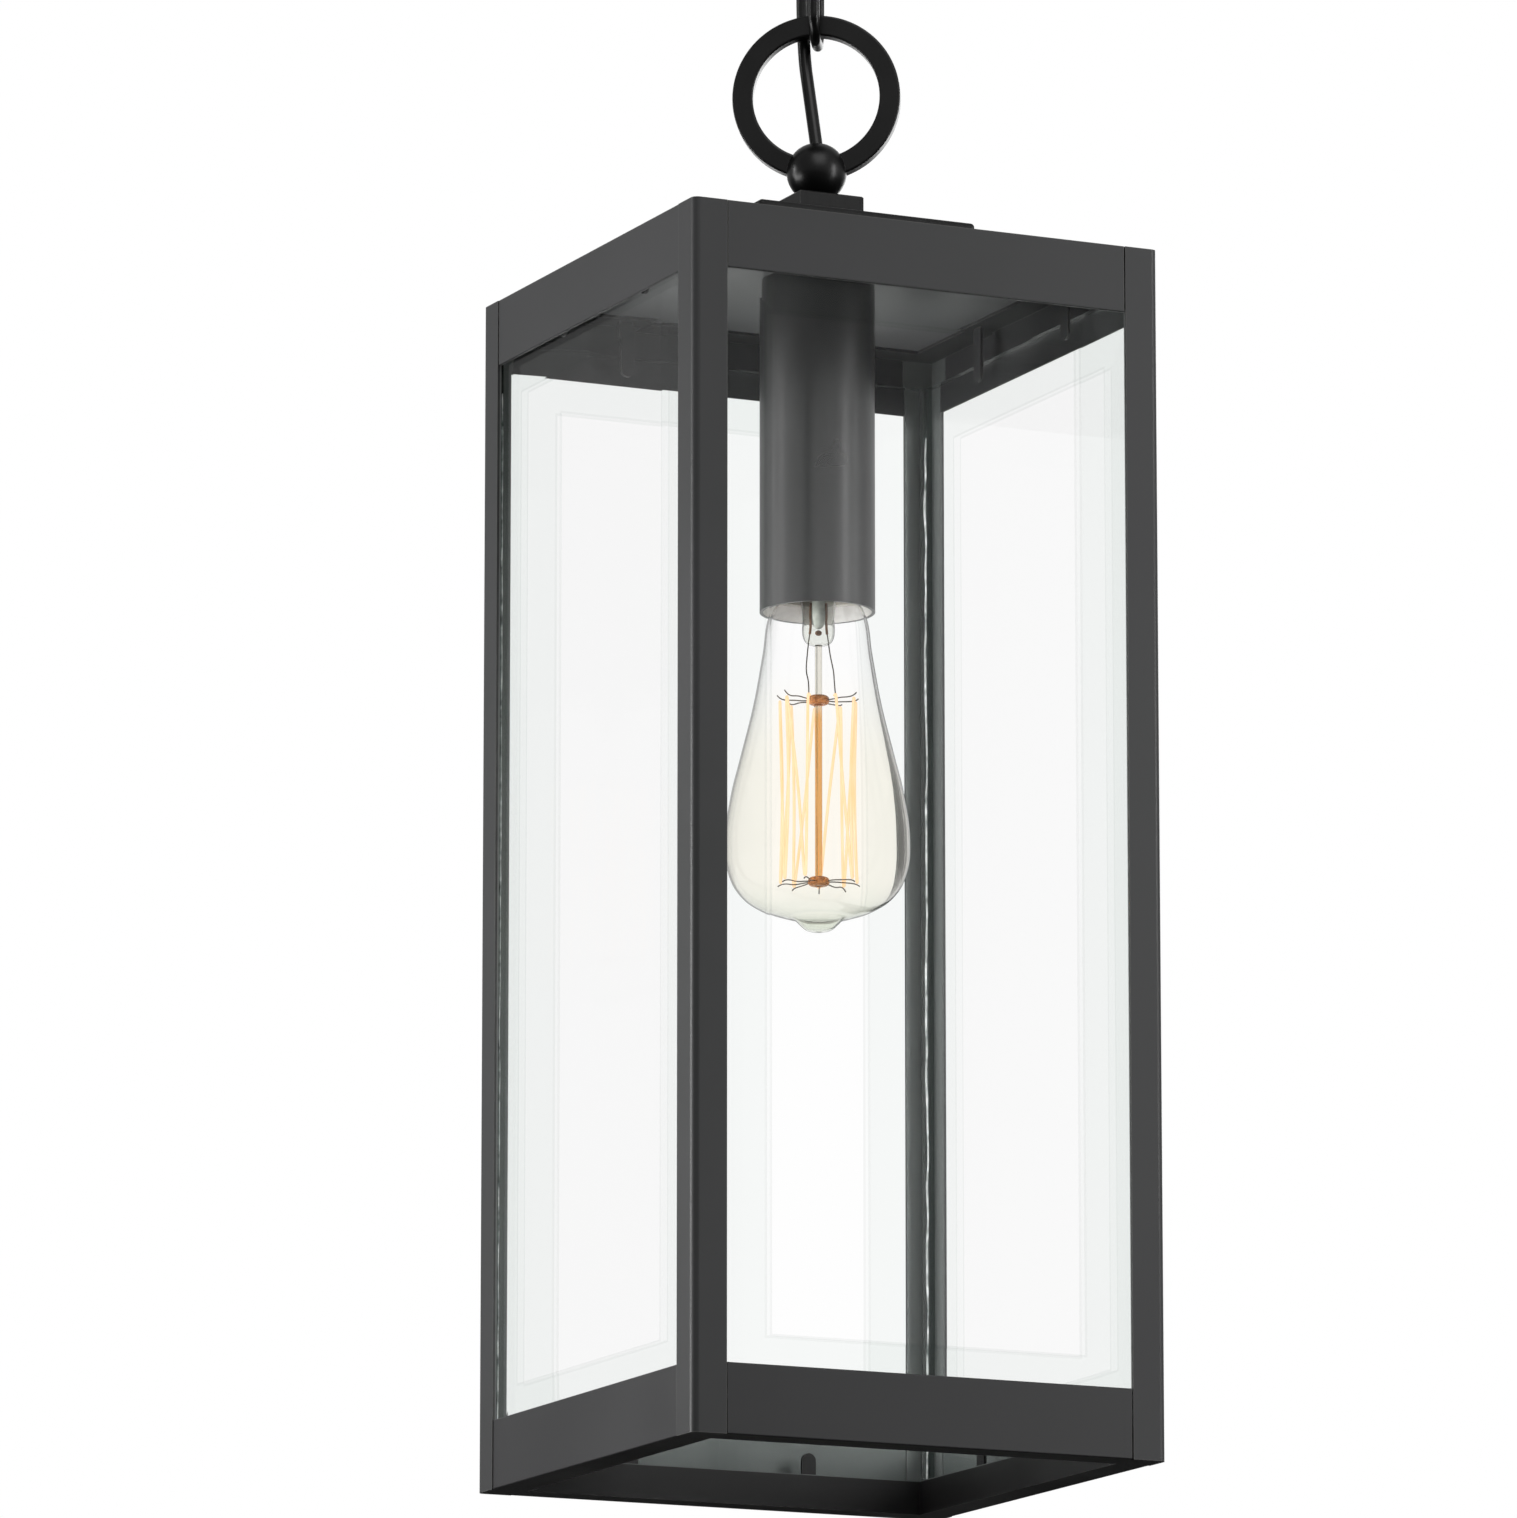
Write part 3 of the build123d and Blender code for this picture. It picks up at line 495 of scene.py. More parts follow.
# Fused glass bead with copper: brownish orange, glossy, darker in its folds
HUB_BEAD = Opaque(
    "copper_flashed_bead", light="#c98a52", dark="#8a5228", mottle_mm=2.2, rough=(0.2, 0.35), grain_mm=0.9,
    grain_height_mm=0.05, metallic=0.6,
)
# Nickel wire: thin and dark against the light, with a metal glint
NICKEL_WIRE = Opaque(
    "drawn_nickel_wire", light="#6d655c", dark="#463f38", mottle_mm=3.0, rough=(0.25, 0.4), grain_mm=0.5,
    metallic=0.9,
)
# Browned copper seal wire in the glass press
SEAL_COPPER = Opaque(
    "browned_copper_seal", light="#9a7258", dark="#6a4a36", mottle_mm=1.5, rough=(0.3, 0.45), grain_mm=0.5, metallic=0.7
)
# Float glass with polished bevels: no colour face on, a painted reflection band and line on the bevels, grey green at
# its edges
PANE_GLASS = PaneGlass("bevelled_float_glass", tint="#ffffff", ior=1.2, wave_mm=180.0, wave_height_mm=0.01)
# Clear glazing silicone: a glossy pale bead, cloudy in places, drawn by hand; its pale colour with darker breaks is a
# painted glint where the panes meet
SILICONE_PAINTED_GLINT = Opaque(
    "glazing_silicone_painted_glint", light="#eef1f0", dark="#5f6664", mottle_mm=4.0, rough=(0.1, 0.22), grain_mm=1.5, coat=0.5
)
# Blown glass: a thin warm tint as painted glow where the filament lights it, painted grey green shade and reflection at
# its tip, soft waves from the mould
BULB_GLASS = Glass(
    "blown_lamp_glass", tint="#ffffff", bands=(("#fffdf8", -352.0, -395.0), ("#eff2ea", -434.0, -449.0)), ior=1.2,
    wave_mm=22.0, wave_height_mm=0.04,
)
# Drawn lead glass of the stem, clear and thick
STEM_GLASS = Glass("drawn_stem_glass", tint="#f6f7f4", ior=1.3, wave_mm=6.0, wave_height_mm=0.06)
# The sealed exhaust tube: pale glass that shows no way through, its pale colour painted light in place of the light
# through it, with bright sides
SEALED_GLASS_PAINTED_LIGHT = Opaque(
    "sealed_glass_painted_light", light="#e6e9e5", dark="#b4bab6", mottle_mm=2.5, rough=(0.06, 0.14), grain_mm=1.2, coat=0.5
)
# The glass arbor, clear at its top and amber between the beads, where the filament lights it
ARBOR_GLASS = Glass(
    "lit_arbor_glass", tint="#e8e4da", bands=(("#e2b06c", -366.0, -376.0),), wave_mm=6.0, wave_height_mm=0.03,
)
# Carbonised filament at a low glow: pale yellow heart, amber edge
FILAMENT = HotWire("glowing_carbon_filament", core="#fff3d8", rim="#e59a44", warm="#fccb8c", strength=1.0)

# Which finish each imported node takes, by the start of its name
NODE_FINISHES: tuple[tuple[Finish, tuple[str, ...]], ...] = (
    (POST_COAT, ("post_",)),
    (FRAME_COAT, ("top_rail_", "top_glass_clips")),
    (SILL_COAT, ("bottom_rail_",)),
    (ROOF_COAT_PAINTED_LIGHT, ("roof_plate",)),
    (NECK_COAT, ("neck_block", "roof_tier")),
    (TUBE_COAT, ("socket_tube", "ceiling_canopy", "canopy_collar")),
    (HANGER_PAINT, ("hanging_ring", "ring_ball", "chain_link_", "canopy_loop")),
    (PANE_GLASS, ("glass_",)),
    (CLIP_STEEL, ("bottom_glass_tabs",)),
    (ZINC_STEEL, ("mounting_strap", "strap_nipple", "nipple_locknut", "stem_nipple", "tube_nut")),
    (EARTH_GREEN, ("earth_screw",)),
    (CORD_PVC, ("cord_", "stem_cord", "canopy_cord")),
    (LEAD_PVC, ("canopy_leads", "holder_leads")),
    (TERMINAL_NYLON, ("terminal_block",)),
    (BRASS, ("terminal_screws", "screw_shell", "centre_contact")),
    (CUP_STEEL, ("holder_cap",)),
    (PORCELAIN, ("holder_body",)),
    (BULB_GLASS, ("bulb_glass",)),
    (STEM_GLASS, ("bulb_stem",)),
    (ARBOR_GLASS, ("bulb_arbor",)),
    (CAP_ALUMINIUM, ("bulb_cap",)),
    (SOLDER, ("bulb_contact",)),
    (VITRITE, ("bulb_insulator",)),
    (HUB_BEAD, ("bulb_hubs",)),
    (NICKEL_WIRE, ("bulb_support_wires", "bulb_lead_wires")),
    (FILAMENT, ("bulb_filament",)),
)


def dress_nodes() -> None:
    """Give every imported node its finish."""
    for name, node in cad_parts.items():
        finish = next(finish for finish, starts in NODE_FINISHES if name.startswith(starts))
        node.data.materials.clear()
        node.data.materials.append(finish.material())


def piece(
    name: str, mesh: bpy.types.Mesh, finish: Finish, body: Body | None, replaces: Sequence[str] = ()
) -> bpy.types.Object:
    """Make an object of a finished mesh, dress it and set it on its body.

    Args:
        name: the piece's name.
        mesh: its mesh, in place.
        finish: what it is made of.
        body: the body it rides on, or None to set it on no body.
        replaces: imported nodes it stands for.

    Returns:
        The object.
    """
    made = bpy.data.objects.new(name, mesh)
    bpy.context.scene.collection.objects.link(made)
    mesh.materials.clear()
    mesh.materials.append(finish.material())
    mesh.shade_smooth()
    if body is not None:
        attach(made, body.value)
    if replaces:
        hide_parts(*replaces)
    LOG.info("%s: %d faces, %s", name, len(mesh.polygons), finish.name)
    return made


def finish_mesh(name: str, shape: bmesh.types.BMesh) -> bpy.types.Mesh:
    """Merge doubles, point the faces outwards and turn a bmesh into a mesh."""
    bmesh.ops.remove_doubles(shape, verts=shape.verts, dist=WELD_M)
    bmesh.ops.recalc_face_normals(shape, faces=shape.faces)
    mesh = bpy.data.meshes.new(name)
    shape.to_mesh(mesh)
    shape.free()
    return mesh


def curve_object(
    name: str, runs: Sequence[Sequence[Point]], kind: str, radius: float = 0.0, resolution: int = 8
) -> bpy.types.Object:
    """Make a curve object of one or more open splines.

    Args:
        name: the curve's name.
        runs: each spline's points in metres.
        kind: NURBS or BEZIER.
        radius: the round section's radius in metres, or 0 for a bare line.
        resolution: steps between points.

    Returns:
        The curve object, linked to the scene.
    """
    data = bpy.data.curves.new(name, "CURVE")
    data.dimensions = "3D"
    data.resolution_u = resolution
    data.bevel_depth = radius
    data.bevel_resolution = 4
    data.use_fill_caps = True
    for run in runs:
        spline = data.splines.new(kind)
        if kind == "BEZIER":
            spline.bezier_points.add(len(run) - 1)
            for knot, place in zip(spline.bezier_points, run):
                knot.co = place
                knot.handle_left_type = knot.handle_right_type = "AUTO"
        else:
            spline.points.add(len(run) - 1)
            for knot, place in zip(spline.points, run):
                knot.co = (*place, 1.0)
            spline.order_u = 3
            spline.use_endpoint_u = True
    made = bpy.data.objects.new(name, data)
    bpy.context.scene.collection.objects.link(made)
    return made


def curve_mesh(
    name: str, runs: Sequence[Sequence[Point]], kind: str, radius: float = 0.0, resolution: int = 8
) -> bpy.types.Mesh:
    """Turn splines into a mesh: a line where radius is 0, else closed round wires."""
    source = curve_object(name, runs, kind, radius, resolution)
    bpy.context.view_layer.update()
    mesh = bpy.data.meshes.new_from_object(source.evaluated_get(bpy.context.evaluated_depsgraph_get()))
    bpy.data.objects.remove(source)
    mesh.name = name
    return mesh


def smooth_line(stations: Sequence[Station], resolution: int) -> list[Vector]:
    """Read the points of a smooth line through radius and height stations.

    Args:
        stations: radius and height pairs in mm.
        resolution: steps between stations.

    Returns:
        Points in the XZ plane in metres.
    """
    line = curve_mesh("turning_line", [[(r * MM, 0.0, z * MM) for r, z in stations]], "BEZIER", 0.0, resolution)
    points = [vertex.co.copy() for vertex in line.vertices]
    bpy.data.meshes.remove(line)
    return points


def spin(points: Sequence[Point], steps: int, turns: int = 1, rise: float = 0.0) -> bmesh.types.BMesh:
    """Spin a line of points about the hanging axis, and weld what meets.

    Args:
        points: the line, from one end to the other, in metres.
        steps: faces in one turn.
        turns: how many turns.
        rise: what each turn climbs, in metres.

    Returns:
        The turned shell.
    """
    shape = bmesh.new()
    verts = [shape.verts.new(point) for point in points]
    edges = [shape.edges.new(pair) for pair in zip(verts, verts[1:])]
    bmesh.ops.spin(
        shape,
        geom=verts + edges,
        cent=(0.0, 0.0, 0.0),
        axis=(0.0, 0.0, 1.0),
        dvec=(0.0, 0.0, rise / steps),
        angle=2 * math.pi * turns,
        steps=steps * turns,
        use_merge=rise == 0.0,
    )
    bmesh.ops.remove_doubles(shape, verts=shape.verts, dist=WELD_M)
    return shape


def lathe(points: Sequence[Vector], steps: int) -> bmesh.types.BMesh:
    """Turn a closed round shell from a line of points, with its faces outwards."""
    shape = spin([(max(p.x, 0.0), 0.0, p.z) for p in points], steps)
    bmesh.ops.recalc_face_normals(shape, faces=shape.faces)
    return shape


def join(shape: bmesh.types.BMesh, part: bmesh.types.BMesh) -> None:
    """Put a shape's faces into another one, and free it."""
    mesh = bpy.data.meshes.new("joined_part")
    part.to_mesh(mesh)
    part.free()
    shape.from_mesh(mesh)
    bpy.data.meshes.remove(mesh)


def add_wall(made: bpy.types.Object, thickness_mm: float) -> None:
    """Give a turned shell its wall, inwards from its skin."""
    wall = made.modifiers.new("wall", "SOLIDIFY")
    wall.thickness = thickness_mm * MM
    wall.offset = -1.0


@dataclass
class HangingCord:
    """The supply cord beside the chain, in three lengths that meet where the chain's links join.

    Points are in mm in the chain's own plane: across the ring, along the ring's axis, and height.
    """

    turn_deg: float = -30.0
    diameter_mm: float = 4.6
    resolution: int = 24
    lower: tuple[Point, ...] = ((0.0, 0.0, -169.0), (-2.6, 3.2, -150.5), (-5.2, 6.4, -132.5), (-5.4, 6.5, -113.4))
    middle: tuple[Point, ...] = ((-5.4, 6.5, -113.4), (-5.64, 6.68, -97.5), (-5.877, 6.858, -81.7))
    upper: tuple[Point, ...] = ((-5.877, 6.858, -81.7), (-6.174, 7.081, -62.0), (0.0, 0.0, -38.0))

    def place(self, point: Point) -> Point:
        """Turn a point of the chain's plane into the shared frame, in metres."""
        turned = Matrix.Rotation(math.radians(self.turn_deg), 3, "Z") @ Vector(point)
        return (turned.x * MM, turned.y * MM, turned.z * MM)

    def length_of(
        self, name: str, route: Sequence[Point]
    ) -> None:
        """Args:
            name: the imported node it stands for.
            route: its control points in the shared frame.
        """
        line = curve_mesh(name + "_line", [route], "NURBS", 0.0, self.resolution)
        bpy.data.meshes.remove(line)
        tube = curve_mesh(name + "_sheath", [route], "NURBS", self.diameter_mm / 2 * MM, self.resolution)
        made = piece(name + "_sheath", tube, CORD_PVC, None, [name])
        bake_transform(made)

    def build(self) -> None:
        """Build the three lengths."""
        for name, points, bodies in (
            ("cord_lower", self.lower, (Body.LANTERN, Body.LOWER_LINK)),
            ("cord_middle", self.middle, (Body.LOWER_LINK, Body.UPPER_LINK)),
            ("cord_upper", self.upper, (Body.UPPER_LINK, Body.CEILING)),
        ):
            route = [self.place(p) for p in points]
            self.length_of(name, route)


@dataclass
class CageLamp:
    """The screw-base bulb with its long cage filament; heights are drops in mm below the cap's rim."""

    rim_mm: float = -330.9
    turn_deg: float = -110.0
    glass: tuple[Station, ...] = (
        (12.5, -8.0), (12.5, -1.5), (13.4, 1.6), (16.4, 7.0), (18.9, 22.0), (22.0, 39.4), (26.4, 57.5),
        (30.0, 72.4), (31.9, 88.5), (30.9, 98.5), (27.0, 106.3), (20.0, 111.6), (12.6, 114.3), (8.4, 115.7),
        (6.6, 117.4), (4.4, 119.2), (0.0, 120.0),
    )
    wall_mm: float = 0.6
    stem_wall_mm: float = 0.5
    exhaust_wall_mm: float = 0.2
    cap_wall_mm: float = 0.3
    cap_r_mm: float = 13.05
    cap_length_mm: float = 21.6
    cap_crown_r_mm: float = 9.8
    cap_crown_mm: float = 1.6
    thread_pitch_mm: float = 3.629
    thread_depth_mm: float = 0.85
    stem: tuple[Station, ...] = (
        (11.4, -6.0), (9.4, -4.2), (6.8, 0.5), (5.9, 5.0), (5.6, 10.0), (5.7, 13.4), (5.3, 15.8), (4.2, 17.5),
        (2.2, 18.4), (0.0, 18.6),
    )
    exhaust: tuple[Station, ...] = ((2.3, -9.0), (2.3, 4.0), (2.2, 9.0), (1.7, 11.2), (0.9, 12.2), (0.0, 12.4))
    # Angle, radius and drop of the points along a lead wire, and along its seal in the press
    lead_way: tuple[Point, ...] = ((90, 3.0, 14.0), (88, 3.6, 18.0), (80, 4.1, 22.0), (46, 6.8, 28.5))
    lead_foot_mm: Station = (11.8, 33.5)
    lead_foot_turn: float = 1.1
    seal_way: tuple[Point, ...] = ((90, 2.7, 3.0), (90, 2.9, 7.0), (84, 2.6, 11.0), (90, 3.0, 14.2))
    seal_r_mm: float = 0.45
    tie_r_mm: float = 1.2
    tie_flat: float = 0.8
    tie_drop_mm: float = 13.8
    press_drop_mm: float = 12.0
    press_flat: float = 0.62
    upper_drop_mm: float = 37.8
    lower_drop_mm: float = 102.2
    bead: tuple[Station, ...] = ((1.3, 1.5), (2.5, 1.7), (3.5, 1.1), (3.8, 0.1), (3.5, -1.0), (2.4, -1.6), (1.3, -1.4))
    cage_r_mm: float = 13.5
    bends: int = 9
    filament_r_mm: float = 0.5
    slack_mm: Span = (0.3, 1.8)
    lean: float = 0.35
    hook_r_mm: float = 0.22
    # Radii of the points along a support wire: in the bead, before and at its kink, and before its hook
    hook_way_mm: tuple[float, float, float, float] = (3.2, 5.4, 8.6, 11.6)
    hook_kink_mm: Span = (-0.5, 0.9)
    hook_lean_deg: Span = (-4.0, 4.0)
    hook_rise_mm: Span = (0.6, 1.4)
    bend_deg: float = 1.5
    bend_mm: float = 1.0
    slack_deg: Span = (-2.0, 2.0)
    thread_start_mm: float = -1.0
    thread_waves: int = 8
    thread_turns: int = 6
    round_steps: int = 48
    # Above the rim: where the skirt turns in, where the thread is cut off, and where the skirt meets it
    skirt_mm: tuple[float, float, float] = (2.0, 2.4, 2.9)
    # Below the cap's top: where the shoulder starts, where the thread is cut off, and where the shoulder is widest
    shoulder_mm: tuple[float, float, float] = (0.9, 0.4, 0.2)
    shoulder_r_mm: float = 0.3
    crown_hole_r_mm: float = 4.9
    seed: int = 7
    draw: random.Random = field(init=False)

    def __post_init__(self) -> None:
        """Seed the small differences between hand-bent wires."""
        self.draw = random.Random(self.seed)

    def at(self, angle_deg: float, radius_mm: float, drop_mm: float) -> Point:
        """Place a point by its angle, radius and drop, in metres."""
        angle = math.radians(angle_deg + self.turn_deg)
        return (radius_mm * MM * math.cos(angle), radius_mm * MM * math.sin(angle), (self.rim_mm - drop_mm) * MM)

    def turned(self, stations: Sequence[Station], resolution: int, steps: int) -> bmesh.types.BMesh:
        """Turn stations of radius and drop into a shell."""
        return lathe(smooth_line([(r, self.rim_mm - drop) for r, drop in stations], resolution), steps)

    def build_glass(self) -> None:
        """Blow the glass: one turned shell with its wall inside."""
        mesh = finish_mesh("lamp_glass", self.turned(self.glass, 6, 96))
        made = piece("lamp_glass", mesh, BULB_GLASS, Body.BULB, ["bulb_glass"])
        add_wall(made, self.wall_mm)

    def build_stem(self) -> None:
        """Draw the glass stem and squeeze its lower end into a flat press."""
        shape = self.turned(self.stem, 5, 48)
        press = [v for v in shape.verts if v.co.z < (self.rim_mm - self.press_drop_mm) * MM]
        across = Matrix.Rotation(math.radians(-self.turn_deg), 4, "Z")
        bmesh.ops.scale(shape, vec=(self.press_flat, 1.0, 1.0), space=across, verts=press)
        mesh = finish_mesh("lamp_stem", shape)
        made = piece("lamp_stem", mesh, STEM_GLASS, Body.BULB, ["bulb_stem"])
        add_wall(made, self.stem_wall_mm)

    def build_exhaust(self) -> None:
        """Draw the sealed exhaust tube inside the stem."""
        mesh = finish_mesh("lamp_exhaust", self.turned(self.exhaust, 5, 32))
        made = piece("lamp_exhaust", mesh, SEALED_GLASS_PAINTED_LIGHT, Body.BULB)
        add_wall(made, self.exhaust_wall_mm)

    def build_leads(self) -> None:
        """Bend the two lead wires from the press to the filament's ends, with browned copper where glass seals them."""
        wires, seals = [], []
        for side in (-1.0, 1.0):
            end = side * 180 / self.bends
            wire = [self.at(side * angle, radius, drop) for angle, radius, drop in self.lead_way]
            wire.append(self.at(end * self.lead_foot_turn, *self.lead_foot_mm))
            wires.append([*wire, self.at(end, self.cage_r_mm, self.upper_drop_mm)])
            seals.append([self.at(side * angle, radius, drop) for angle, radius, drop in self.seal_way])
        mesh = curve_mesh("lamp_leads", wires, "NURBS", self.hook_r_mm * MM, 8)
        piece("lamp_leads", mesh, NICKEL_WIRE, Body.BULB, ["bulb_lead_wires"])
        shape = bmesh.new()
        part = curve_mesh("seal_wires", seals, "NURBS", self.seal_r_mm * MM, 8)
        shape.from_mesh(part)
        bpy.data.meshes.remove(part)
        tie = bmesh.ops.create_uvsphere(shape, u_segments=20, v_segments=12, radius=self.tie_r_mm * MM)["verts"]
        bmesh.ops.scale(shape, vec=(1.0, 1.0, self.tie_flat), verts=tie)
        bmesh.ops.translate(shape, vec=(0.0, 0.0, (self.rim_mm - self.tie_drop_mm) * MM), verts=tie)
        piece("lamp_seals", finish_mesh("lamp_seals", shape), SEAL_COPPER, Body.BULB)

    def build_beads(self) -> None:
        """Turn the two beads that hold the support wires."""
        shape = bmesh.new()
        for drop in (self.upper_drop_mm, self.lower_drop_mm):
            line = smooth_line([(r, self.rim_mm - drop + z) for r, z in self.bead], 4)
            join(shape, lathe(line + line[:1], 40))
        piece("lamp_beads", finish_mesh("lamp_beads", shape), HUB_BEAD, Body.BULB, ["bulb_hubs"])

    def build_hooks(self) -> None:
        """Bend the support wires: out from the beads with a kink, then a hook round the filament."""
        step = 360 / self.bends
        rows = (
            (self.upper_drop_mm, [(i + 0.5) * step for i in range(1, self.bends - 1)], 1.0),
            (self.lower_drop_mm, [(i + 1 + self.lean) * step for i in range(self.bends - 1)], -1.0),
        )
        root_r, near_r, kink_r, far_r = self.hook_way_mm
        wires = []
        for drop, angles, side in rows:
            for angle in angles:
                kink = self.draw.uniform(*self.hook_kink_mm)
                lean = self.draw.uniform(*self.hook_lean_deg)
                rise = side * self.draw.uniform(*self.hook_rise_mm)
                wires.append(
                    [
                        self.at(angle, root_r, drop),
                        self.at(angle, near_r, drop - side * kink * 0.6),
                        self.at(angle + lean, kink_r, drop - side * (0.4 + kink)),
                        self.at(angle + lean * 0.5, far_r, drop - side * 0.2),
                        self.at(angle, self.cage_r_mm + 0.2, drop - rise * 0.7),
                        self.at(angle, self.cage_r_mm + 1.0, drop - rise * 1.5),
                    ]
                )
        mesh = curve_mesh("lamp_hooks", wires, "NURBS", self.hook_r_mm * MM, 6)
        piece("lamp_hooks", mesh, NICKEL_WIRE, Body.BULB, ["bulb_support_wires"])

    def build_filament(self) -> None:
        """String the filament up and down the cage, with a slight slackness in each strand."""
        step = 360 / self.bends
        thread: list[Point] = []
        for bend in range(self.bends):
            thread += self.bend_at((bend + 0.5) * step, self.upper_drop_mm)
            if bend < self.bends - 1:
                thread += self.slack((bend + 0.75 + self.lean / 2) * step)
                thread += self.bend_at((bend + 1 + self.lean) * step, self.lower_drop_mm)
                thread += self.slack((bend + 1.25 + self.lean / 2) * step)
        mesh = curve_mesh("lamp_filament", [thread], "NURBS", self.filament_r_mm * MM, 6)
        piece("lamp_filament", mesh, FILAMENT, Body.BULB, ["bulb_filament"])

    def bend_at(self, angle_deg: float, drop_mm: float) -> list[Point]:
        """Three close points that turn the filament over a hook."""
        side = 1.0 if drop_mm == self.lower_drop_mm else -1.0
        return [
            self.at(angle_deg - self.bend_deg, self.cage_r_mm, drop_mm - side * self.bend_mm),
            self.at(angle_deg, self.cage_r_mm, drop_mm),
            self.at(angle_deg + self.bend_deg, self.cage_r_mm, drop_mm - side * self.bend_mm),
        ]

    def slack(self, angle_deg: float) -> list[Point]:
        """One point at the middle of a strand, a little off its straight line."""
        middle = (self.upper_drop_mm + self.lower_drop_mm) / 2
        angle = angle_deg + self.draw.uniform(*self.slack_deg)
        return [self.at(angle, self.cage_r_mm - self.draw.uniform(*self.slack_mm), middle)]

    def build_cap(self) -> None:
        """Roll the screw cap: a helical thread between a plain skirt and a coned crown."""
        top = self.rim_mm + self.cap_length_mm
        low_r = self.cap_r_mm - self.thread_depth_mm
        start = self.rim_mm + self.thread_start_mm
        line = []
        for i in range(self.thread_waves + 1):
            swell = 0.5 - 0.5 * math.cos(2 * math.pi * i / self.thread_waves)
            radius = (low_r + self.thread_depth_mm * swell) * MM
            line.append((radius, 0.0, (start + self.thread_pitch_mm * i / self.thread_waves) * MM))
        shape = spin(line, self.round_steps, self.thread_turns, self.thread_pitch_mm * MM)
        skirt, skirt_cut, skirt_end = (self.rim_mm + rise for rise in self.skirt_mm)
        neck, neck_cut, shoulder = (top - drop for drop in self.shoulder_mm)
        crown = top + self.cap_crown_mm
        for height, normal in ((skirt_cut, (0, 0, -1)), (neck_cut, (0, 0, 1))):
            bmesh.ops.bisect_plane(
                shape,
                geom=list(shape.verts) + list(shape.edges) + list(shape.faces),
                plane_co=(0.0, 0.0, height * MM),
                plane_no=normal,
                clear_outer=True,
            )
        rings = (
            ((self.cap_r_mm, self.rim_mm), (self.cap_r_mm, skirt), (low_r, skirt_end)),
            (
                (low_r, neck),
                (self.cap_r_mm - self.shoulder_r_mm, shoulder),
                (self.cap_crown_r_mm, crown),
                (self.crown_hole_r_mm, crown),
            ),
        )
        for ring in rings:
            join(shape, lathe([Vector((r * MM, 0.0, z * MM)) for r, z in ring], self.round_steps))
        mesh = finish_mesh("lamp_cap", shape)
        made = piece("lamp_cap", mesh, CAP_ALUMINIUM, Body.BULB, ["bulb_cap"])
        add_wall(made, self.cap_wall_mm)

    def build(self) -> None:
        """Build the lamp from its cap to its tip."""
        self.build_cap()
        self.build_glass()
        self.build_stem()
        self.build_exhaust()
        self.build_leads()
        self.build_beads()
        self.build_hooks()
        self.build_filament()


@dataclass
class CornerBeads:
    """The wavy silicone bead in each corner between two panes, painted pale to show as a painted glint along the
    corner.
    """

    corner_mm: float = 82.1
    radius_mm: float = 0.42
    wave_mm: float = 0.3
    step_mm: float = 7.0
    low_mm: float = -627.5
    high_mm: float = -243.0
    seed: int = 11

    def build(self) -> None:
        """Draw the four beads from the ledge up to the skirt."""
        draw = random.Random(self.seed)
        steps = int((self.high_mm - self.low_mm) / self.step_mm)
        runs = []
        for across, along in ((1, 1), (1, -1), (-1, -1), (-1, 1)):
            run = []
            for i in range(steps + 1):
                shift = draw.uniform(-self.wave_mm, self.wave_mm)
                side = Vector((across, -along, 0.0)) * shift
                spot = Vector((across * self.corner_mm, along * self.corner_mm, self.low_mm + i * self.step_mm)) + side
                run.append(tuple(spot * MM))
            runs.append(run)
        mesh = curve_mesh("corner_beads", runs, "NURBS", self.radius_mm * MM, 4)
        piece("corner_beads", mesh, SILICONE_PAINTED_GLINT, Body.LANTERN)


@dataclass
class TubeMouth:
    """The enamel coat inside the socket tube, from its rim to the lampholder."""

    inside_r_mm: float = 18.62
    low_mm: float = -337.2
    high_mm: float = -306.0
    coat_mm: float = 0.05

    def build(self) -> None:
        """Turn the coat and give it its thickness, away from the wall."""
        ends = [Vector((self.inside_r_mm * MM, 0.0, z * MM)) for z in (self.low_mm, self.high_mm)]
        mesh = finish_mesh("tube_mouth_enamel", lathe(ends, 96))
        made = piece("tube_mouth_enamel", mesh, MOUTH_ENAMEL, Body.LANTERN)
        add_wall(made, self.coat_mm)


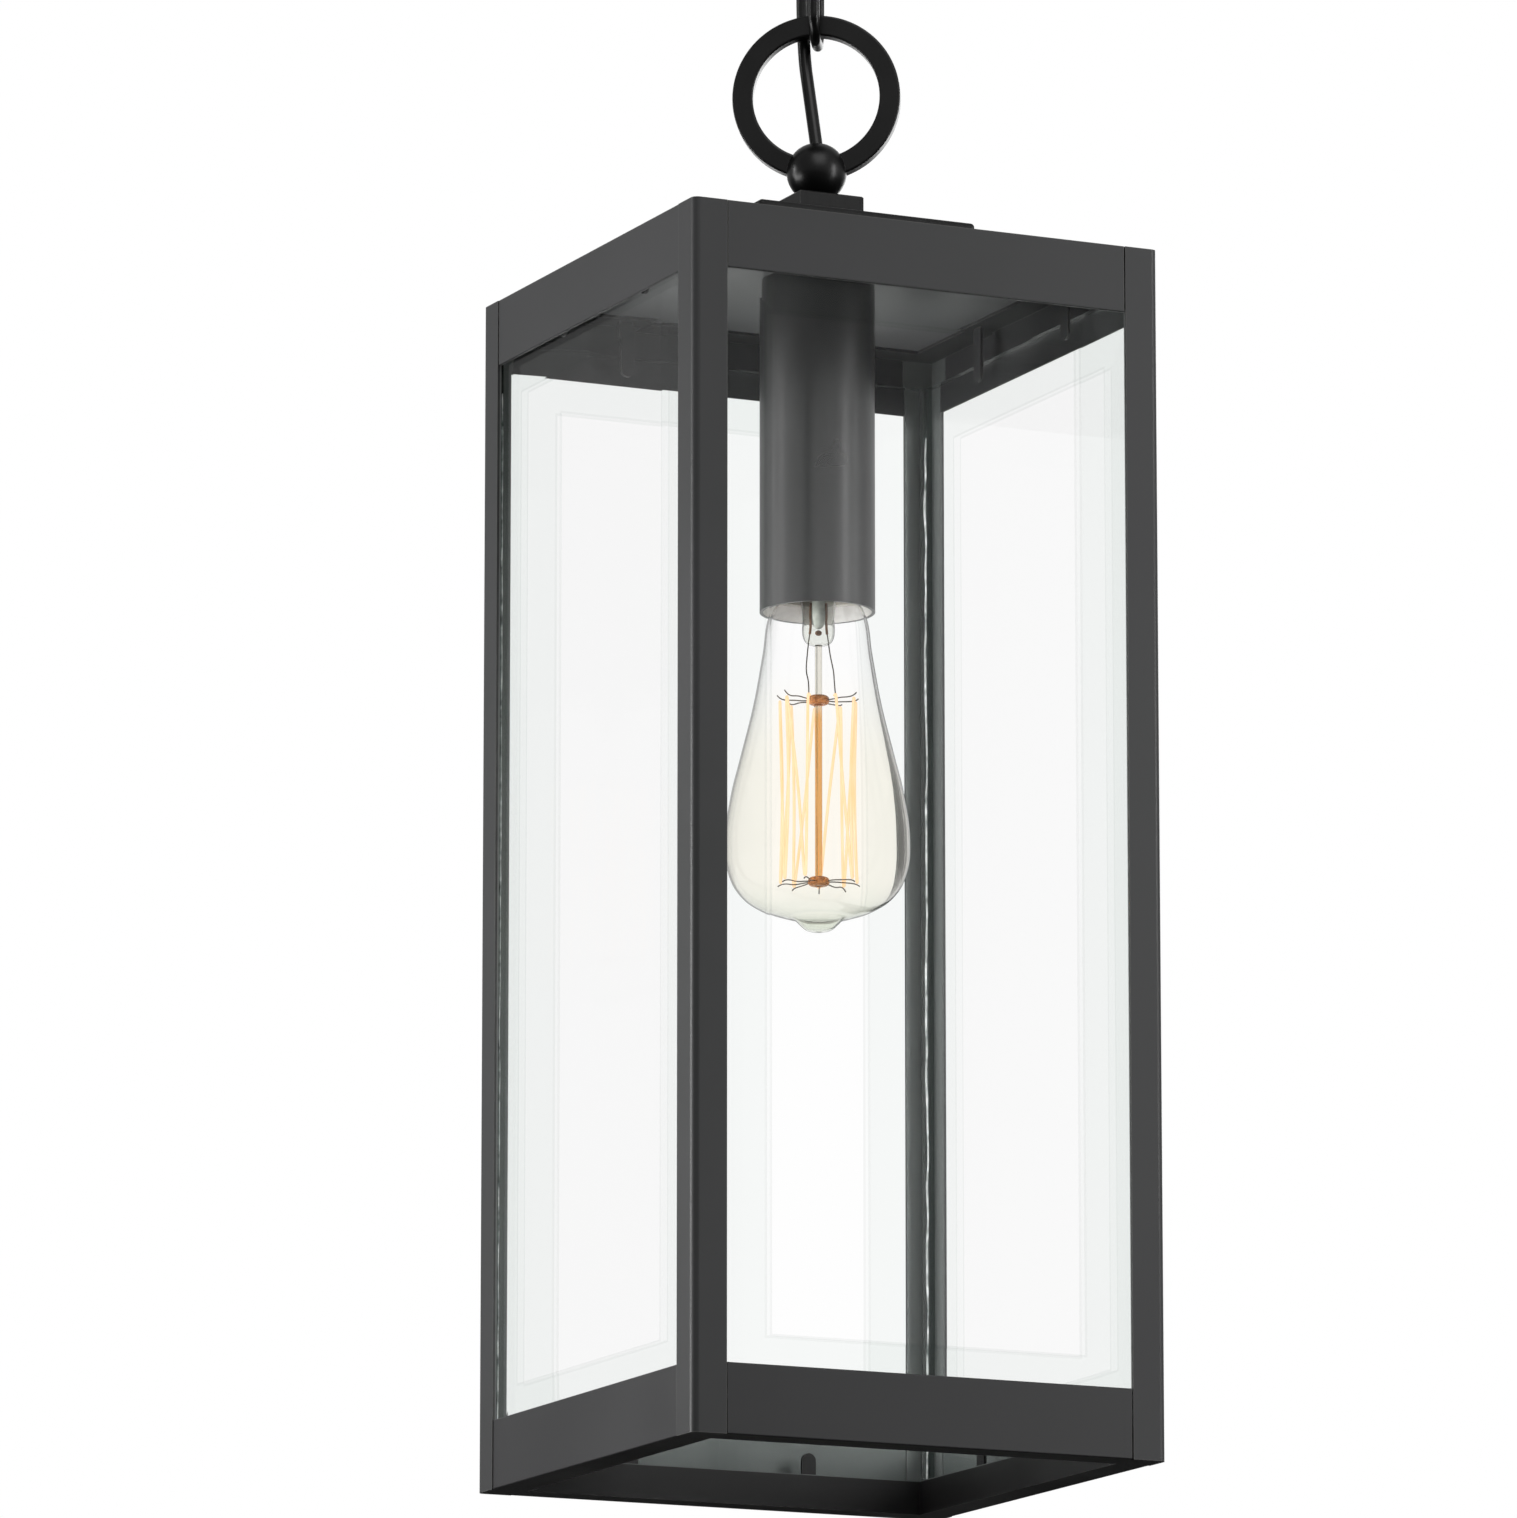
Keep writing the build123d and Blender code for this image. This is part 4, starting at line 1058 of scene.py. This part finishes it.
@dataclass
class Studio:
    """White surroundings, soft lamps, a pale floor and the camera at the photograph's angle."""

    body_top_m: float = -0.2173
    camera_distance_m: float = 3.5796
    camera_drop_m: float = 0.8919
    forward: Point = (0.43156, 0.90209, 0.0)
    right: Point = (0.90209, -0.43156, 0.0)
    aim_right: float = -0.00573
    aim_up: float = 0.20112
    lens_mm: float = 248.46
    clip_end_m: float = 50.0
    floor_m: float = -2.4
    floor_half_m: float = 30.0
    shade_below: float = 0.05
    shade_above: float = 0.75
    backdrop: float = 1.0
    mirror_way: Point = (0.44, -0.9, 0.0)
    mirror_dark: float = 0.45
    mirror_bright: float = 0.75
    middle: Point = (0.0, 0.0, -0.43)
    # Two upright strips at the sides, a wide lamp above, a small one by the near corner and a soft one behind
    lamps: tuple[tuple[str, Point, tuple[float, float], float], ...] = (
        ("left_strip", (-1.7, -0.1, 0.2), (0.2, 1.1), 12.5),
        ("right_strip", (1.6, 0.6, 0.3), (0.2, 1.1), 19.0),
        ("top_panel", (0.3, 1.2, 1.4), (1.2, 1.2), 16.0),
        ("near_fill", (-0.45, 0.12, -0.02), (0.2, 0.4), 2.6),
        ("back_panel", (0.3, -1.6, 0.6), (1.4, 1.0), 12.0),
    )

    def build_camera(self) -> None:
        """Set the camera where the photograph was taken from."""
        data = bpy.data.cameras.new("photo_camera")
        data.lens = self.lens_mm
        data.clip_end = self.clip_end_m
        made = bpy.data.objects.new("photo_camera", data)
        forward, right = Vector(self.forward), Vector(self.right)
        made.location = -forward * self.camera_distance_m + Vector((0, 0, self.body_top_m - self.camera_drop_m))
        aim = forward + right * self.aim_right + Vector((0, 0, self.aim_up))
        made.rotation_euler = aim.to_track_quat("-Z", "Y").to_euler()
        bpy.context.scene.collection.objects.link(made)
        bpy.context.scene.camera = made

    def build_world(self) -> None:
        """Surround the lantern with white for the eye, and with more light from above than from below."""
        world = bpy.data.worlds.new("white_studio")
        bpy.context.scene.world = world
        world.use_nodes = True
        tree = world.node_tree
        tree.nodes.clear()
        path = add(tree, "ShaderNodeLightPath").outputs
        plain = calc(tree, "LESS_THAN", path["Diffuse Depth"], 0.5)
        bare = calc(tree, "LESS_THAN", path["Glossy Depth"], 0.5)
        sharp = calc(tree, "MAXIMUM", seen_ray(tree), path["Is Glossy Ray"])
        shown = calc(tree, "MULTIPLY", sharp, plain)
        way = add(tree, "ShaderNodeTexCoord").outputs["Generated"]
        up = add(tree, "ShaderNodeSeparateXYZ", {"Vector": way}).outputs["Z"]
        light = fit(tree, up, (-1.0, 1.0), (self.shade_below, self.shade_above))
        side = add(tree, "ShaderNodeVectorMath", {0: way, 1: self.mirror_way}, operation="DOT_PRODUCT").outputs["Value"]
        mirror = fit(tree, side, (-1.0, 1.0), (self.mirror_dark, self.mirror_bright))
        backdrop = add(tree, "ShaderNodeMix", {"Factor": bare, "A": mirror, "B": self.backdrop}, data_type="FLOAT")
        strength = add(
            tree,
            "ShaderNodeMix",
            {"Factor": shown, "A": light, "B": backdrop.outputs["Result"]},
            data_type="FLOAT",
        )
        sky = add(tree, "ShaderNodeBackground", {"Color": (1, 1, 1, 1), "Strength": strength.outputs["Result"]})
        add(tree, "ShaderNodeOutputWorld", {"Surface": sky.outputs["Background"]})

    def lamp(self, name: str, place: Point, size: tuple[float, float], watts: float) -> None:
        """Hang one soft lamp that faces the lantern's middle.

        Args:
            name: the lamp's name.
            place: right, toward the camera and up from the lantern's middle, in metres.
            size: its width and height in metres.
            watts: its power.
        """
        data = bpy.data.lights.new(name, "AREA")
        data.shape = "RECTANGLE"
        data.size, data.size_y = size
        data.energy = watts
        made = bpy.data.objects.new(name, data)
        middle = Vector(self.middle)
        level = Vector(self.right) * place[0] - Vector(self.forward) * place[1]
        made.location = middle + level + Vector((0, 0, place[2]))
        made.rotation_euler = (middle - made.location).to_track_quat("-Z", "Y").to_euler()
        made.visible_transmission = False
        made.visible_camera = False
        bpy.context.scene.collection.objects.link(made)

    def build_floor(self) -> None:
        """Lay a plain pale floor under the lantern."""
        shape = bmesh.new()
        bmesh.ops.create_grid(shape, x_segments=1, y_segments=1, size=self.floor_half_m)
        bmesh.ops.translate(shape, vec=(0, 0, self.floor_m), verts=shape.verts)
        made = bpy.data.objects.new("studio_floor", finish_mesh("studio_floor", shape))
        bpy.context.scene.collection.objects.link(made)
        made.data.materials.append(StudioFloor("matt_white_studio_paint").material())

    def build(self) -> None:
        """Build the studio and set the plain view transform."""
        bpy.context.scene.view_settings.view_transform = "Standard"
        self.build_camera()
        self.build_world()
        for lamp in self.lamps:
            self.lamp(*lamp)
        self.build_floor()


def main() -> None:
    """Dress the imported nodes, then build the studio, the cord, the lamp and what is only seen."""
    logging.basicConfig(level=logging.INFO, format="%(name)s: %(message)s")
    dress_nodes()
    Studio().build()
    HangingCord().build()
    CageLamp().build()
    TubeMouth().build()
    CornerBeads().build()


if __name__ == "__main__":
    main()
